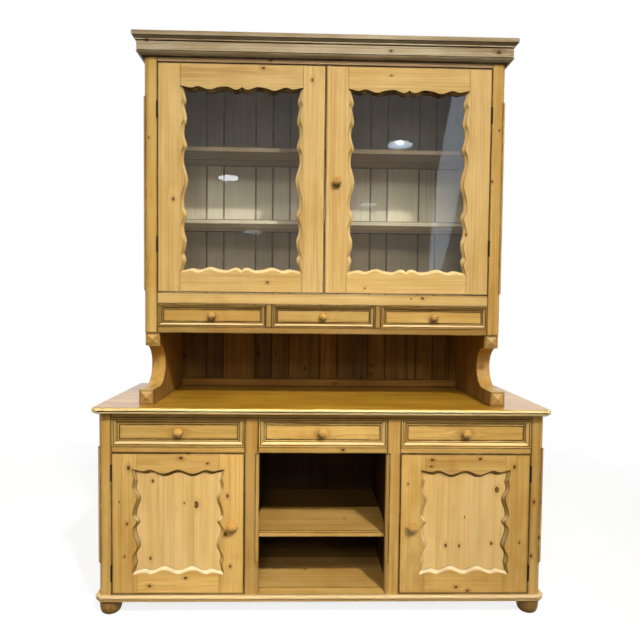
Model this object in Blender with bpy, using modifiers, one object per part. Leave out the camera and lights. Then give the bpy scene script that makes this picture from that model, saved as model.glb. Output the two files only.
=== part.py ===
"""A glazed pine dresser: a base with drawers, cupboards and an open niche, and a glazed cabinet
that stands on it on two brackets.

Metres, +Z up. The front faces -Y. The origin is on the floor, under the middle of the whole piece.
"""

import math

import bmesh
import bpy
from mathutils import Matrix, Vector

# Fits
GAP = 0.0003                 # between pieces that are glued, nailed or stood on each other
DOOR_GAP = 0.0026            # above, below and between doors
CUPBOARD_FOOT_GAP = 0.0036   # below the lower doors, which clear the plinth moulding
HINGE_GAP = 0.0020           # between a door and the post it hangs on
DRAWER_GAP = 0.0020          # beside and above a drawer front
BOX_GAP = 0.0030             # between a drawer's box and the sides of its opening
RUNNING_GAP = 0.0005         # under a drawer's box
FRONT_FOOT_GAP = 0.0010      # under a drawer's front
OVERSHOOT = 0.005            # of a cutter, beyond the piece it cuts

# Base, across
BASE_WIDTH = 1.562
CORNER_POST_WIDTH = 0.0445
MID_POST_WIDTH = 0.046
NICHE_WIDTH = 0.453
BASE_SIDE_THICKNESS = 0.022
PARTITION_THICKNESS = 0.020

# Base, front to back
BASE_DEPTH = 0.490
BASE_POST_DEPTH = 0.045
BACK_THICKNESS = 0.016
TOP_OVERHANG_FRONT = 0.028
TOP_OVERHANG_BACK = 0.039
TOP_OVERHANG_SIDE = 0.0195
NICHE_SHELF_SETBACK = 0.030

# Base, from the floor up
FOOT_HEIGHT = 0.050
BOTTOM_BOARD_THICKNESS = 0.024
CUPBOARD_OPENING = 0.5045
DRAWER_BOARD_THICKNESS = 0.020
BASE_DRAWER_OPENING = 0.1035
TOP_RAIL_THICKNESS = 0.0145
TOP_BOARD_THICKNESS = 0.022
NICHE_SHELF_THICKNESS = 0.016
NICHE_SHELF_HEIGHT = 0.209   # its top, above the bottom board

# Cabinet, across
CABINET_WIDTH = 1.304
CABINET_POST_WIDTH = 0.047
CABINET_SIDE_THICKNESS = 0.020
DIVIDER_THICKNESS = 0.020
CENTRE_SMALL_DRAWER_OPENING = 0.380
BRACKET_THICKNESS = 0.051
BRACKET_INSET = 0.0025       # its outer face, in from the cabinet's side

# Cabinet, front to back
CABINET_SETBACK = 0.104      # its front, behind the base's front
CABINET_POST_DEPTH = 0.040
FACE_RAIL_THICKNESS = 0.020
SHELF_DEPTH = 0.210

# Cabinet, from the base's top up
BRACKET_HEIGHT = 0.2505
CABINET_BOTTOM_THICKNESS = 0.0225
SMALL_DRAWER_OPENING = 0.084
FLOOR_RAIL_HEIGHT = 0.040
FLOOR_BOARD_THICKNESS = 0.018
GLAZED_OPENING = 0.8236
FRIEZE_RAIL_HEIGHT = 0.0577
CABINET_TOP_THICKNESS = 0.018
SHELF_THICKNESS = 0.020
LOWER_SHELF_HEIGHT = 0.292   # its top, above the cabinet's floor
UPPER_SHELF_HEIGHT = 0.572

# Cants on the front corners and the strips applied to them
BASE_CANT = 0.013
CABINET_CANT = 0.011
TOP_CANT = 0.022
STRIP_SUNK = 0.001
BASE_STRIP_WIDTH = 0.018
BASE_STRIP_THICKNESS = 0.0055
BASE_STRIP_FOOT = 0.113      # its foot, above the bottom board
CORNER_STRIP_LENGTH = 0.411
MID_STRIP_LENGTH = 0.388
CABINET_STRIP_WIDTH = 0.015
CABINET_STRIP_THICKNESS = 0.005
CABINET_STRIP_FOOT = 0.154   # its foot, above the cabinet's underside
CABINET_STRIP_LENGTH = 0.695

# Top board's rounded edge
NOSING = 0.009

# Plinth moulding and feet
PLINTH_HEIGHT = 0.0195
PLINTH_PROJECTION = 0.014
PLINTH_DROP = 0.0006         # its top, below the bottom board's top
FOOT_RADIUS = 0.038
FOOT_SOLE_RADIUS = 0.021
FOOT_CENTRE_INSET = 0.032    # its centre, in from the base's front and sides

# Cornice
CORNICE_HEIGHT = 0.0785
CORNICE_PROJECTION = 0.034
CORNICE_REVEAL = 0.0152      # frieze seen below it

# Back boards: narrow ones of a set width between wide ones that share the rest
NARROW_BACK_BOARD = 0.0735
CABINET_BACK_PATTERN = "WNWNNWNWNWNW"
BASE_BACK_PATTERN = "WNWWNWWNW"
JOINT_GROOVE = 0.0022
NICHE_RAIL_HEIGHT = 0.0335
NICHE_RAIL_THICKNESS = 0.012

# Brackets
FOOT_BLOCK_HEIGHT = 0.0535
HEAD_BLOCK_HEIGHT = 0.0475
FOOT_BLOCK_SETBACK = 0.0365  # its front, behind the base's front
HEAD_BLOCK_SETBACK = 0.006   # its front, behind the cabinet's front
RECESS_CENTRE_SETBACK = 0.016   # behind the cabinet's front
POINT_HEIGHT = 0.007
POINT_MARGIN = 0.004

# Doors
DOOR_THICKNESS = 0.022
SCALLOP_BEVEL = 0.012
SCALLOP_BEVEL_DEPTH = 0.009
SCALLOP_LAND = 0.003         # square edge behind the bevel
GLAZED_SCALLOP = 0.012       # of the tallest hump
CUPBOARD_SCALLOP = 0.016
REBATE_OVERLAP = 0.003       # rebate, outside the scalloped opening's straight outline
GLAZED_OUTER_STILE = 0.080
GLAZED_MEETING_STILE = 0.0795
GLAZED_TOP_RAIL = 0.080
GLAZED_BOTTOM_RAIL = 0.069
CUPBOARD_OUTER_STILE = 0.069
CUPBOARD_INNER_STILE = 0.069
CUPBOARD_TOP_RAIL = 0.056
CUPBOARD_BOTTOM_RAIL = 0.066
GLASS_THICKNESS = 0.003
PANEL_THICKNESS = 0.008
ASTRAGAL_WIDTH = 0.020
ASTRAGAL_HEIGHT = 0.007
ASTRAGAL_INSET = 0.0005      # in from the door's free edge
ASTRAGAL_END = 0.003         # short of the door's top and foot
SIDE_SAMPLES = 36            # points along each side of a scalloped opening

# Drawers
FRONT_THICKNESS = 0.020
BOX_SIDE_THICKNESS = 0.010
BOX_BOTTOM_THICKNESS = 0.008
BOX_TOP_DROP = 0.012         # box sides, below the opening's top
BOX_BACK_SPACE = 0.018       # behind a closed drawer
BASE_MOULDING = 0.026        # moulded border of a base drawer's front
SMALL_MOULDING = 0.020
MOULDING_EDGE = 0.006        # its flat outer edge
FIELD_DEPTH = 0.008          # the flat field, below the border

# Knobs
BASE_DRAWER_KNOB = 0.0165    # radii
SMALL_DRAWER_KNOB = 0.0145
CUPBOARD_KNOB = 0.0190
GLAZED_KNOB = 0.0160
KNOB_LENGTH_RATIO = 1.40     # length over radius
CUPBOARD_KNOB_HEIGHT = 0.246 # above the bottom board
CUPBOARD_KNOB_INSET = 0.041  # in from the door's free edge
GLAZED_KNOB_HEIGHT = 0.407   # above the cabinet's floor
GLAZED_KNOB_INSET = 0.042

# Hinges
BARREL_RADIUS = 0.0034
HINGE_LENGTH = 0.060
LEAF_THICKNESS = 0.0009
LEAF_DEPTH = 0.016
GLAZED_HINGE_HEIGHTS = (0.173, 0.655)    # centres, above the cabinet's floor
CUPBOARD_HINGE_HEIGHTS = (0.077, 0.433)  # centres, above the bottom board

# Round shapes
TURNING_STEPS = 16
FOOT_STEPS = 24
RECESS_STEPS = 16
SMOOTH_BELOW = 35            # degrees between faces that are shaded as one

# Planes across and front to back, worked out from the sizes above
TOP_DEPTH = TOP_OVERHANG_FRONT + BASE_DEPTH + TOP_OVERHANG_BACK
BASE_FRONT = TOP_OVERHANG_FRONT - TOP_DEPTH / 2
BASE_BACK = BASE_FRONT + BASE_DEPTH
BASE_BACK_FACE = BASE_BACK - BACK_THICKNESS
BASE_HALF = BASE_WIDTH / 2
BASE_POST_INNER = BASE_HALF - CORNER_POST_WIDTH
BASE_INNER_HALF = BASE_HALF - BASE_SIDE_THICKNESS
MID_INNER = NICHE_WIDTH / 2
MID_OUTER = MID_INNER + MID_POST_WIDTH
PARTITION_INNER = (MID_INNER + MID_OUTER - PARTITION_THICKNESS) / 2
BASE_POST_BACK = BASE_FRONT + BASE_POST_DEPTH
CABINET_FRONT = BASE_FRONT + CABINET_SETBACK
CABINET_HALF = CABINET_WIDTH / 2
CABINET_POST_INNER = CABINET_HALF - CABINET_POST_WIDTH
CABINET_INNER_HALF = CABINET_HALF - CABINET_SIDE_THICKNESS
CABINET_POST_BACK = CABINET_FRONT + CABINET_POST_DEPTH
DIVIDER_INNER = CENTRE_SMALL_DRAWER_OPENING / 2
DIVIDER_OUTER = DIVIDER_INNER + DIVIDER_THICKNESS

# Levels, worked out from the floor up
BASE_UNDERSIDE = FOOT_HEIGHT + GAP
BOTTOM_BOARD_TOP = BASE_UNDERSIDE + BOTTOM_BOARD_THICKNESS
DRAWER_BOARD_UNDERSIDE = BOTTOM_BOARD_TOP + CUPBOARD_OPENING
DRAWER_BOARD_TOP = DRAWER_BOARD_UNDERSIDE + DRAWER_BOARD_THICKNESS
TOP_RAIL_UNDERSIDE = DRAWER_BOARD_TOP + BASE_DRAWER_OPENING
TOP_RAIL_TOP = TOP_RAIL_UNDERSIDE + TOP_RAIL_THICKNESS
TOP_UNDERSIDE = TOP_RAIL_TOP + GAP
TOP_SURFACE = TOP_UNDERSIDE + TOP_BOARD_THICKNESS
BRACKET_FOOT = TOP_SURFACE + GAP
BRACKET_TOP = BRACKET_FOOT + BRACKET_HEIGHT
CABINET_UNDERSIDE = BRACKET_TOP + GAP
CABINET_BOTTOM_TOP = CABINET_UNDERSIDE + CABINET_BOTTOM_THICKNESS
FLOOR_RAIL_UNDERSIDE = CABINET_BOTTOM_TOP + SMALL_DRAWER_OPENING
FLOOR_TOP = FLOOR_RAIL_UNDERSIDE + FLOOR_RAIL_HEIGHT
FRIEZE_UNDERSIDE = FLOOR_TOP + GLAZED_OPENING
CARCASS_TOP = FRIEZE_UNDERSIDE + FRIEZE_RAIL_HEIGHT
CORNICE_FOOT = FRIEZE_UNDERSIDE + CORNICE_REVEAL

# Finishes: base colour, roughness, metallic, alpha
FINISHES = {
    "pine": ((0.62, 0.42, 0.17), 0.42, 0.0, 1.0),
    "waxed_pine": ((0.56, 0.38, 0.15), 0.35, 0.0, 1.0),
    "weathered_pine": ((0.46, 0.35, 0.19), 0.55, 0.0, 1.0),
    "bare_pine": ((0.36, 0.24, 0.12), 0.70, 0.0, 1.0),
    "painted": ((0.36, 0.33, 0.27), 0.60, 0.0, 1.0),
    "glass": ((0.85, 0.90, 0.90), 0.05, 0.0, 0.25),
    "iron": ((0.035, 0.030, 0.028), 0.55, 0.8, 1.0),
}

# Scalloped edges: place along the side, height as a share of the tallest hump, and whether the
# edge comes to a sharp cusp there. Each list runs to the middle and is mirrored beyond it.
GLAZED_RAIL_SCALLOP = (
    (0.000, 0.00, False),
    (0.085, 0.55, False),
    (0.140, 0.05, False),
    (0.235, 1.00, False),
    (0.295, 0.40, True),
    (0.375, 0.05, False),
    (0.455, 0.92, False),
    (0.500, 0.10, True),
)
GLAZED_STILE_SCALLOP = (
    (0.000, 0.00, False),
    (0.045, 0.55, False),
    (0.075, 0.15, True),
    (0.140, 0.85, False),
    (0.205, 0.10, True),
    (0.275, 0.85, False),
    (0.340, 0.10, True),
    (0.500, 1.20, False),
)
CUPBOARD_RAIL_SCALLOP = (
    (0.000, 0.00, False),
    (0.120, 0.45, False),
    (0.190, 0.10, False),
    (0.340, 1.00, False),
    (0.500, 0.10, False),
)
CUPBOARD_STILE_SCALLOP = (
    (0.000, 0.00, False),
    (0.090, 0.40, True),
    (0.165, 0.10, False),
    (0.264, 1.00, False),
    (0.350, 0.45, True),
    (0.435, 0.10, False),
    (0.500, 0.90, False),
)

# Outlines are drawn as (u, v) in one of these planes and made thick along w.
PLANES = {
    "XY": Matrix.Identity(4),
    "XZ": Matrix(((1, 0, 0, 0), (0, 0, -1, 0), (0, 1, 0, 0), (0, 0, 0, 1))),
    "YZ": Matrix(((0, 0, 1, 0), (1, 0, 0, 0), (0, 1, 0, 0), (0, 0, 0, 1))),
}


def clear_scene():
    for obj in list(bpy.data.objects):
        bpy.data.objects.remove(obj, do_unlink=True)


def new_collection(name):
    collection = bpy.data.collections.new(name)
    bpy.context.scene.collection.children.link(collection)
    return collection


def new_material(name, finish):
    colour, roughness, metallic, alpha = FINISHES[finish]
    material = bpy.data.materials.new(name)
    material.use_nodes = True
    shader = material.node_tree.nodes["Principled BSDF"]
    shader.inputs["Base Color"].default_value = (*colour, 1.0)
    shader.inputs["Roughness"].default_value = roughness
    shader.inputs["Metallic"].default_value = metallic
    shader.inputs["Alpha"].default_value = alpha
    return material


def add_part(name, mesh, finish):
    """A sub-part, with a finish, or a cutter, with none."""
    obj = bpy.data.objects.new(name, mesh)
    if finish:
        obj.data.materials.append(new_material(name, finish))
        parts.objects.link(obj)
    else:
        obj.hide_render = True
        obj.display_type = "WIRE"
        cutters.objects.link(obj)
    return obj


def mesh_from(name, shape):
    """Turn a bmesh into a mesh whose faces point outwards, smooth but for its sharp edges."""
    bmesh.ops.recalc_face_normals(shape, faces=shape.faces)
    mesh = bpy.data.meshes.new(name)
    shape.to_mesh(mesh)
    shape.free()
    mesh.shade_smooth()
    mesh.set_sharp_from_angle(angle=math.radians(SMOOTH_BELOW))
    return mesh


def board(name, x, y, z, finish):
    """A plain board between two limits each way."""
    centre = Vector((sum(x) / 2, sum(y) / 2, sum(z) / 2))
    size = (x[1] - x[0], y[1] - y[0], z[1] - z[0])
    shape = bmesh.new()
    bmesh.ops.create_cube(shape, size=1.0, matrix=Matrix.Diagonal((*size, 1.0)))
    obj = add_part(name, mesh_from(name, shape), finish)
    obj.location = centre
    return obj


def outline_solid(name, outline, start, end, plane, finish):
    """A flat outline made thick from start to end along the axis square to its plane."""
    curve = bpy.data.curves.new(name, "CURVE")
    curve.dimensions = "2D"
    curve.fill_mode = "BOTH"
    curve.extrude = (end - start) / 2
    spline = curve.splines.new("POLY")
    spline.points.add(len(outline) - 1)
    for point, (u, v) in zip(spline.points, outline):
        point.co = (u, v, 0.0, 1.0)
    spline.use_cyclic_u = True
    guide = bpy.data.objects.new(name, curve)
    bpy.context.scene.collection.objects.link(guide)
    middle = (start + end) / 2
    if plane == "XZ":
        middle = -middle
    guide.matrix_world = PLANES[plane] @ Matrix.Translation((0.0, 0.0, middle))
    bpy.context.view_layer.update()
    evaluated = guide.evaluated_get(bpy.context.evaluated_depsgraph_get())
    shape = bmesh.new()
    shape.from_mesh(bpy.data.meshes.new_from_object(evaluated))
    bmesh.ops.remove_doubles(shape, verts=shape.verts, dist=0.00001)
    place = guide.matrix_world.copy()
    bpy.data.objects.remove(guide, do_unlink=True)
    obj = add_part(name, mesh_from(name, shape), finish)
    obj.matrix_world = place
    return obj


def join(obj, other):
    """Make another solid one with this one."""
    modifier = obj.modifiers.new("join", "BOOLEAN")
    modifier.operation = "UNION"
    modifier.object = other
    return obj


def cut(obj, other):
    modifier = obj.modifiers.new("cut", "BOOLEAN")
    modifier.operation = "DIFFERENCE"
    modifier.object = other
    return obj


def turned(name, profile, steps, finish):
    """A turned shape from a profile of (radius, height), listed from its top down."""
    mesh = bpy.data.meshes.new(name)
    points = [(radius, 0.0, height) for radius, height in profile]
    edges = [(i, i + 1) for i in range(len(points) - 1)]
    mesh.from_pydata(points, edges, [])
    obj = add_part(name, mesh, finish)
    screw = obj.modifiers.new("turn", "SCREW")
    screw.steps = steps
    screw.render_steps = steps
    screw.use_merge_vertices = True
    screw.merge_threshold = 0.00005
    screw.use_smooth_shade = True
    return obj


def mirrored(outline, side):
    """An outline for the right side, or its reflection for the left."""
    if side > 0:
        return outline
    return [(-u, v) for u, v in reversed(outline)]


def ordered(a, b):
    return (min(a, b), max(a, b))


def side_name(side):
    return "right" if side > 0 else "left"


def joint_empty(name, location, pieces):
    """An empty on a joint's axis that carries the pieces that move with it."""
    empty = bpy.data.objects.new(name, None)
    empty.location = location
    parts.objects.link(empty)
    bpy.context.view_layer.update()
    for piece in pieces:
        piece.parent = empty
        piece.matrix_parent_inverse = empty.matrix_world.inverted()
    return empty


def notched_outline(front_half, back_half, y_front, y_step, y_back, notches=()):
    """A board seen from above: narrower in front, where it lies between posts, with notches."""
    points = [(-back_half, y_back), (-back_half, y_step), (-front_half, y_step), (-front_half, y_front)]
    for start, end in notches:
        points += [(start, y_front), (start, y_step), (end, y_step), (end, y_front)]
    points += [(front_half, y_front), (front_half, y_step), (back_half, y_step), (back_half, y_back)]
    return points


def canted_outline(half_width, y_front, y_back, cant):
    return [
        (-half_width, y_back),
        (-half_width, y_front + cant),
        (-half_width + cant, y_front),
        (half_width - cant, y_front),
        (half_width, y_front + cant),
        (half_width, y_back),
    ]


def back_boards(name, half_width, y, z, pattern, finish):
    """Upright back boards side by side, with a V groove at each joint on both faces."""
    narrow = NARROW_BACK_BOARD
    wide = (2 * half_width - pattern.count("N") * narrow) / pattern.count("W")
    groove = JOINT_GROOVE
    columns = [(-half_width, 0.0)]
    x = -half_width
    for letter in pattern[:-1]:
        x += wide if letter == "W" else narrow
        columns += [(x - groove / 2, 0.0), (x, groove), (x + groove / 2, 0.0)]
    columns.append((half_width, 0.0))
    shape = bmesh.new()
    sections = []
    for x, depth in columns:
        corners = ((y[0] + depth, z[0]), (y[1] - depth, z[0]), (y[1] - depth, z[1]), (y[0] + depth, z[1]))
        sections.append([shape.verts.new((x, cy, cz)) for cy, cz in corners])
    bridge(shape, sections)
    return add_part(name, mesh_from(name, shape), finish)


def bridge(shape, sections):
    """Join closed sections in a row, and close both ends."""
    count = len(sections[0])
    for here, there in zip(sections, sections[1:]):
        for i in range(count):
            j = (i + 1) % count
            shape.faces.new((here[i], here[j], there[j], there[i]))
    shape.faces.new(sections[0])
    shape.faces.new(sections[-1][::-1])


def moulding(name, profile, path, finish):
    """A run of moulding, mitred at each corner of its path.

    The profile is (projection, height). The path is seen from above and has the piece it goes
    round on its left.
    """
    directions = [(Vector(b) - Vector(a)).normalized() for a, b in zip(path, path[1:])]
    normals = [Vector((-d.y, d.x)) * -1 for d in directions]
    mitres = [normals[0]]
    for before, after in zip(normals, normals[1:]):
        mitres.append((before + after) / (1 + before.dot(after)))
    mitres.append(normals[-1])
    shape = bmesh.new()
    sections = []
    for point, mitre in zip(path, mitres):
        section = []
        for projection, height in profile:
            place = Vector(point) + mitre * projection
            section.append(shape.verts.new((place.x, place.y, height)))
        sections.append(section)
    bridge(shape, sections)
    return add_part(name, mesh_from(name, shape), finish)


def arc(centre, radius, start, end, steps):
    """Points along an arc, angles in degrees, both ends included."""
    points = []
    for i in range(steps + 1):
        angle = math.radians(start + (end - start) * i / steps)
        points.append((centre[0] + radius * math.cos(angle), centre[1] + radius * math.sin(angle)))
    return points


def applied_strip(name, foot, length, width, thickness, centre, outward):
    """A flat strip with bevelled ends, stood on a cant. Centre is where the cant's middle is."""
    shape = bmesh.new()
    size = (width, thickness + STRIP_SUNK, length)
    bmesh.ops.create_cube(shape, size=1.0, matrix=Matrix.Diagonal((*size, 1.0)))
    for vert in shape.verts:
        if vert.co.y < 0:
            vert.co.z -= math.copysign(thickness, vert.co.z)
    obj = add_part(name, mesh_from(name, shape), None)
    normal = Vector(outward).normalized()
    middle = Vector(centre) + normal * (thickness - STRIP_SUNK) / 2
    obj.location = (middle.x, middle.y, foot + length / 2)
    obj.rotation_euler = (0.0, 0.0, math.atan2(normal.x, -normal.y))
    return obj


def make_end(name, side, half, inner_half, post_inner, y_front, post_back, y_back, cant, z, strip):
    """An end: its side board and its corner post, with a strip on the post's cant."""
    outline = [
        (post_inner, y_front),
        (half - cant, y_front),
        (half, y_front + cant),
        (half, y_back),
        (inner_half, y_back),
        (inner_half, post_back),
        (post_inner, post_back),
    ]
    end = outline_solid(name, mirrored(outline, side), z[0], z[1], "XY", "pine")
    foot, length, width, thickness = strip
    centre = (side * (half - cant / 2), y_front + cant / 2)
    piece = applied_strip(name + "_strip", foot, length, width, thickness, centre, (side, -1))
    return join(end, piece)


def make_base_ends():
    strip = (BOTTOM_BOARD_TOP + BASE_STRIP_FOOT, CORNER_STRIP_LENGTH, BASE_STRIP_WIDTH, BASE_STRIP_THICKNESS)
    for side in (-1, 1):
        make_end(
            "base_end_" + side_name(side), side, BASE_HALF, BASE_INNER_HALF, BASE_POST_INNER,
            BASE_FRONT, BASE_POST_BACK, BASE_BACK, BASE_CANT, (BASE_UNDERSIDE, TOP_RAIL_TOP), strip,
        )


def make_mid_posts():
    """The posts beside the niche, with the partitions behind them."""
    for side in (-1, 1):
        name = "mid_post_" + side_name(side)
        post = board(
            name, ordered(side * MID_INNER, side * MID_OUTER), (BASE_FRONT, BASE_POST_BACK),
            (BASE_UNDERSIDE, TOP_RAIL_UNDERSIDE - GAP), "pine",
        )
        x = ordered(side * PARTITION_INNER, side * (PARTITION_INNER + PARTITION_THICKNESS))
        partition = board(
            name + "_partition", x, (BASE_POST_BACK - BASE_POST_DEPTH / 2, BASE_BACK_FACE - GAP),
            (BOTTOM_BOARD_TOP + GAP, DRAWER_BOARD_UNDERSIDE - GAP), None,
        )
        outside = BASE_CANT / 2
        corner = [
            (MID_INNER - outside, BASE_FRONT - outside),
            (MID_INNER + BASE_CANT + outside, BASE_FRONT - outside),
            (MID_INNER - outside, BASE_FRONT + BASE_CANT + outside),
        ]
        cant = outline_solid(
            name + "_cant", mirrored(corner, side), BOTTOM_BOARD_TOP, DRAWER_BOARD_UNDERSIDE, "XY", None,
        )
        centre = (side * (MID_INNER + BASE_CANT / 2), BASE_FRONT + BASE_CANT / 2)
        strip = applied_strip(
            name + "_strip", BOTTOM_BOARD_TOP + BASE_STRIP_FOOT, MID_STRIP_LENGTH,
            BASE_STRIP_WIDTH, BASE_STRIP_THICKNESS, centre, (-side, -1),
        )
        join(cut(join(post, partition), cant), strip)


def make_base_boards():
    step = BASE_POST_BACK + GAP
    front_half = BASE_POST_INNER - GAP
    back_half = BASE_INNER_HALF - GAP
    back = BASE_BACK_FACE - GAP
    mid = (MID_INNER - GAP, MID_OUTER + GAP)
    notches = ((-mid[1], -mid[0]), mid)
    outline = notched_outline(front_half, back_half, BASE_FRONT, step, back, notches)
    outline_solid("base_bottom_board", outline, BASE_UNDERSIDE, BOTTOM_BOARD_TOP, "XY", "pine")
    outline_solid("drawer_board", outline, DRAWER_BOARD_UNDERSIDE, DRAWER_BOARD_TOP, "XY", "pine")
    board(
        "base_top_rail", (-front_half, front_half), (BASE_FRONT, BASE_POST_BACK),
        (TOP_RAIL_UNDERSIDE, TOP_RAIL_TOP), "pine",
    )
    shelf_top = BOTTOM_BOARD_TOP + NICHE_SHELF_HEIGHT
    shelf = notched_outline(
        MID_INNER - GAP, PARTITION_INNER - GAP, BASE_FRONT + NICHE_SHELF_SETBACK, step, back,
    )
    outline_solid("niche_shelf", shelf, shelf_top - NICHE_SHELF_THICKNESS, shelf_top, "XY", "pine")
    back_boards(
        "base_back_boards", BASE_INNER_HALF - GAP, (BASE_BACK_FACE, BASE_BACK), (BASE_UNDERSIDE, TOP_RAIL_TOP),
        BASE_BACK_PATTERN, "bare_pine",
    )


def make_top_board():
    outline = canted_outline(
        BASE_HALF + TOP_OVERHANG_SIDE, BASE_FRONT - TOP_OVERHANG_FRONT, BASE_BACK + TOP_OVERHANG_BACK, TOP_CANT,
    )
    shape = bmesh.new()
    face = shape.faces.new([shape.verts.new((x, y, TOP_UNDERSIDE)) for x, y in outline])
    raised = bmesh.ops.extrude_face_region(shape, geom=[face])["geom"]
    risen = [item for item in raised if isinstance(item, bmesh.types.BMVert)]
    bmesh.ops.translate(shape, vec=(0.0, 0.0, TOP_BOARD_THICKNESS), verts=risen)
    weight = shape.edges.layers.float.new("bevel_weight_edge")
    back = BASE_BACK + TOP_OVERHANG_BACK
    for edge in shape.edges:
        start, end = (vert.co for vert in edge.verts)
        level = abs(start.z - end.z) < GAP
        at_back = min(start.y, end.y) > back - GAP
        edge[weight] = 1.0 if level and not at_back else 0.0
    top = add_part("base_top_board", mesh_from("base_top_board", shape), "waxed_pine")
    nosing = top.modifiers.new("nosing", "BEVEL")
    nosing.width = NOSING
    nosing.segments = 3
    nosing.limit_method = "WEIGHT"


def make_plinth():
    top = BOTTOM_BOARD_TOP - PLINTH_DROP
    foot = top - PLINTH_HEIGHT
    bead = PLINTH_HEIGHT * 0.55
    back = GAP
    profile = [(back, top)]
    profile += [(PLINTH_PROJECTION * 0.72, top)]
    profile += [(PLINTH_PROJECTION, top - bead * 0.3), (PLINTH_PROJECTION, top - bead * 0.75)]
    profile += [(PLINTH_PROJECTION * 0.78, top - bead), (PLINTH_PROJECTION * 0.88, foot), (back, foot)]
    path = canted_outline(BASE_HALF, BASE_FRONT, BASE_BACK, BASE_CANT)
    moulding("plinth_moulding", profile, path, "pine")


def make_feet():
    top_radius = FOOT_RADIUS * 0.8
    widest = FOOT_HEIGHT * 0.70
    profile = [(0.0, FOOT_HEIGHT), (top_radius, FOOT_HEIGHT)]
    for angle in (60, 30, 0):
        turn = math.radians(angle)
        radius = top_radius + (FOOT_RADIUS - top_radius) * math.cos(turn)
        profile.append((radius, widest + (FOOT_HEIGHT - widest) * 0.95 * math.sin(turn)))
    for angle in (30, 60, 90):
        turn = math.radians(angle)
        radius = FOOT_SOLE_RADIUS + (FOOT_RADIUS - FOOT_SOLE_RADIUS) * math.cos(turn) ** 0.7
        profile.append((radius, widest - widest * math.sin(turn)))
    profile.append((0.0, 0.0))
    x = BASE_HALF - FOOT_CENTRE_INSET
    rows = {"front": BASE_FRONT + FOOT_CENTRE_INSET, "back": BASE_BACK - FOOT_CENTRE_INSET}
    for row, y in rows.items():
        for side in (-1, 1):
            foot = turned("foot_%s_%s" % (row, side_name(side)), profile, FOOT_STEPS, "pine")
            foot.location = (side * x, y, 0.0)


def bracket_outline():
    """A bracket seen from the side: a foot block, a round hollow and a head block."""
    foot_front = BASE_FRONT + FOOT_BLOCK_SETBACK
    head_front = CABINET_FRONT + HEAD_BLOCK_SETBACK
    foot_top = BRACKET_FOOT + FOOT_BLOCK_HEIGHT
    head_foot = BRACKET_TOP - HEAD_BLOCK_HEIGHT
    radius = (head_foot - foot_top) / 2
    centre = (CABINET_FRONT + RECESS_CENTRE_SETBACK, (head_foot + foot_top) / 2)
    back = BASE_BACK_FACE - GAP
    hollow = arc(centre, radius, -90, 90, RECESS_STEPS)
    return [
        (back, BRACKET_FOOT),
        (foot_front, BRACKET_FOOT),
        (foot_front, foot_top),
        *hollow,
        (head_front, head_foot),
        (head_front, BRACKET_TOP),
        (back, BRACKET_TOP),
    ]


def diamond_point(name, x, y_front, z):
    """A low four-sided point for a block's front, its back sunk into the block."""
    width = x[1] - x[0] - 2 * POINT_MARGIN
    height = z[1] - z[0] - 2 * POINT_MARGIN
    sunk = POINT_HEIGHT / 3
    shape = bmesh.new()
    bmesh.ops.create_cone(
        shape, cap_ends=True, segments=4, radius1=math.sqrt(0.5), radius2=0.0, depth=1.0,
        matrix=Matrix.Rotation(math.radians(45), 4, "Z"),
    )
    bmesh.ops.scale(shape, vec=(width, height, POINT_HEIGHT + sunk), verts=shape.verts)
    obj = add_part(name, mesh_from(name, shape), None)
    obj.rotation_euler = (math.radians(90), 0.0, 0.0)
    obj.location = (sum(x) / 2, y_front - (POINT_HEIGHT - sunk) / 2, sum(z) / 2)
    return obj


def make_brackets():
    outer = CABINET_HALF - BRACKET_INSET
    foot_front = BASE_FRONT + FOOT_BLOCK_SETBACK
    head_front = CABINET_FRONT + HEAD_BLOCK_SETBACK
    for side in (-1, 1):
        name = "bracket_" + side_name(side)
        x = ordered(side * (outer - BRACKET_THICKNESS), side * outer)
        bracket = outline_solid(name, bracket_outline(), x[0], x[1], "YZ", "waxed_pine")
        foot_z = (BRACKET_FOOT, BRACKET_FOOT + FOOT_BLOCK_HEIGHT)
        head_z = (BRACKET_TOP - HEAD_BLOCK_HEIGHT, BRACKET_TOP)
        join(bracket, diamond_point(name + "_foot_point", x, foot_front, foot_z))
        join(bracket, diamond_point(name + "_head_point", x, head_front, head_z))


def make_cabinet_ends():
    strip = (
        CABINET_UNDERSIDE + CABINET_STRIP_FOOT, CABINET_STRIP_LENGTH, CABINET_STRIP_WIDTH,
        CABINET_STRIP_THICKNESS,
    )
    for side in (-1, 1):
        make_end(
            "cabinet_end_" + side_name(side), side, CABINET_HALF, CABINET_INNER_HALF, CABINET_POST_INNER,
            CABINET_FRONT, CABINET_POST_BACK, BASE_BACK, CABINET_CANT, (CABINET_UNDERSIDE, CARCASS_TOP), strip,
        )


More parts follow.
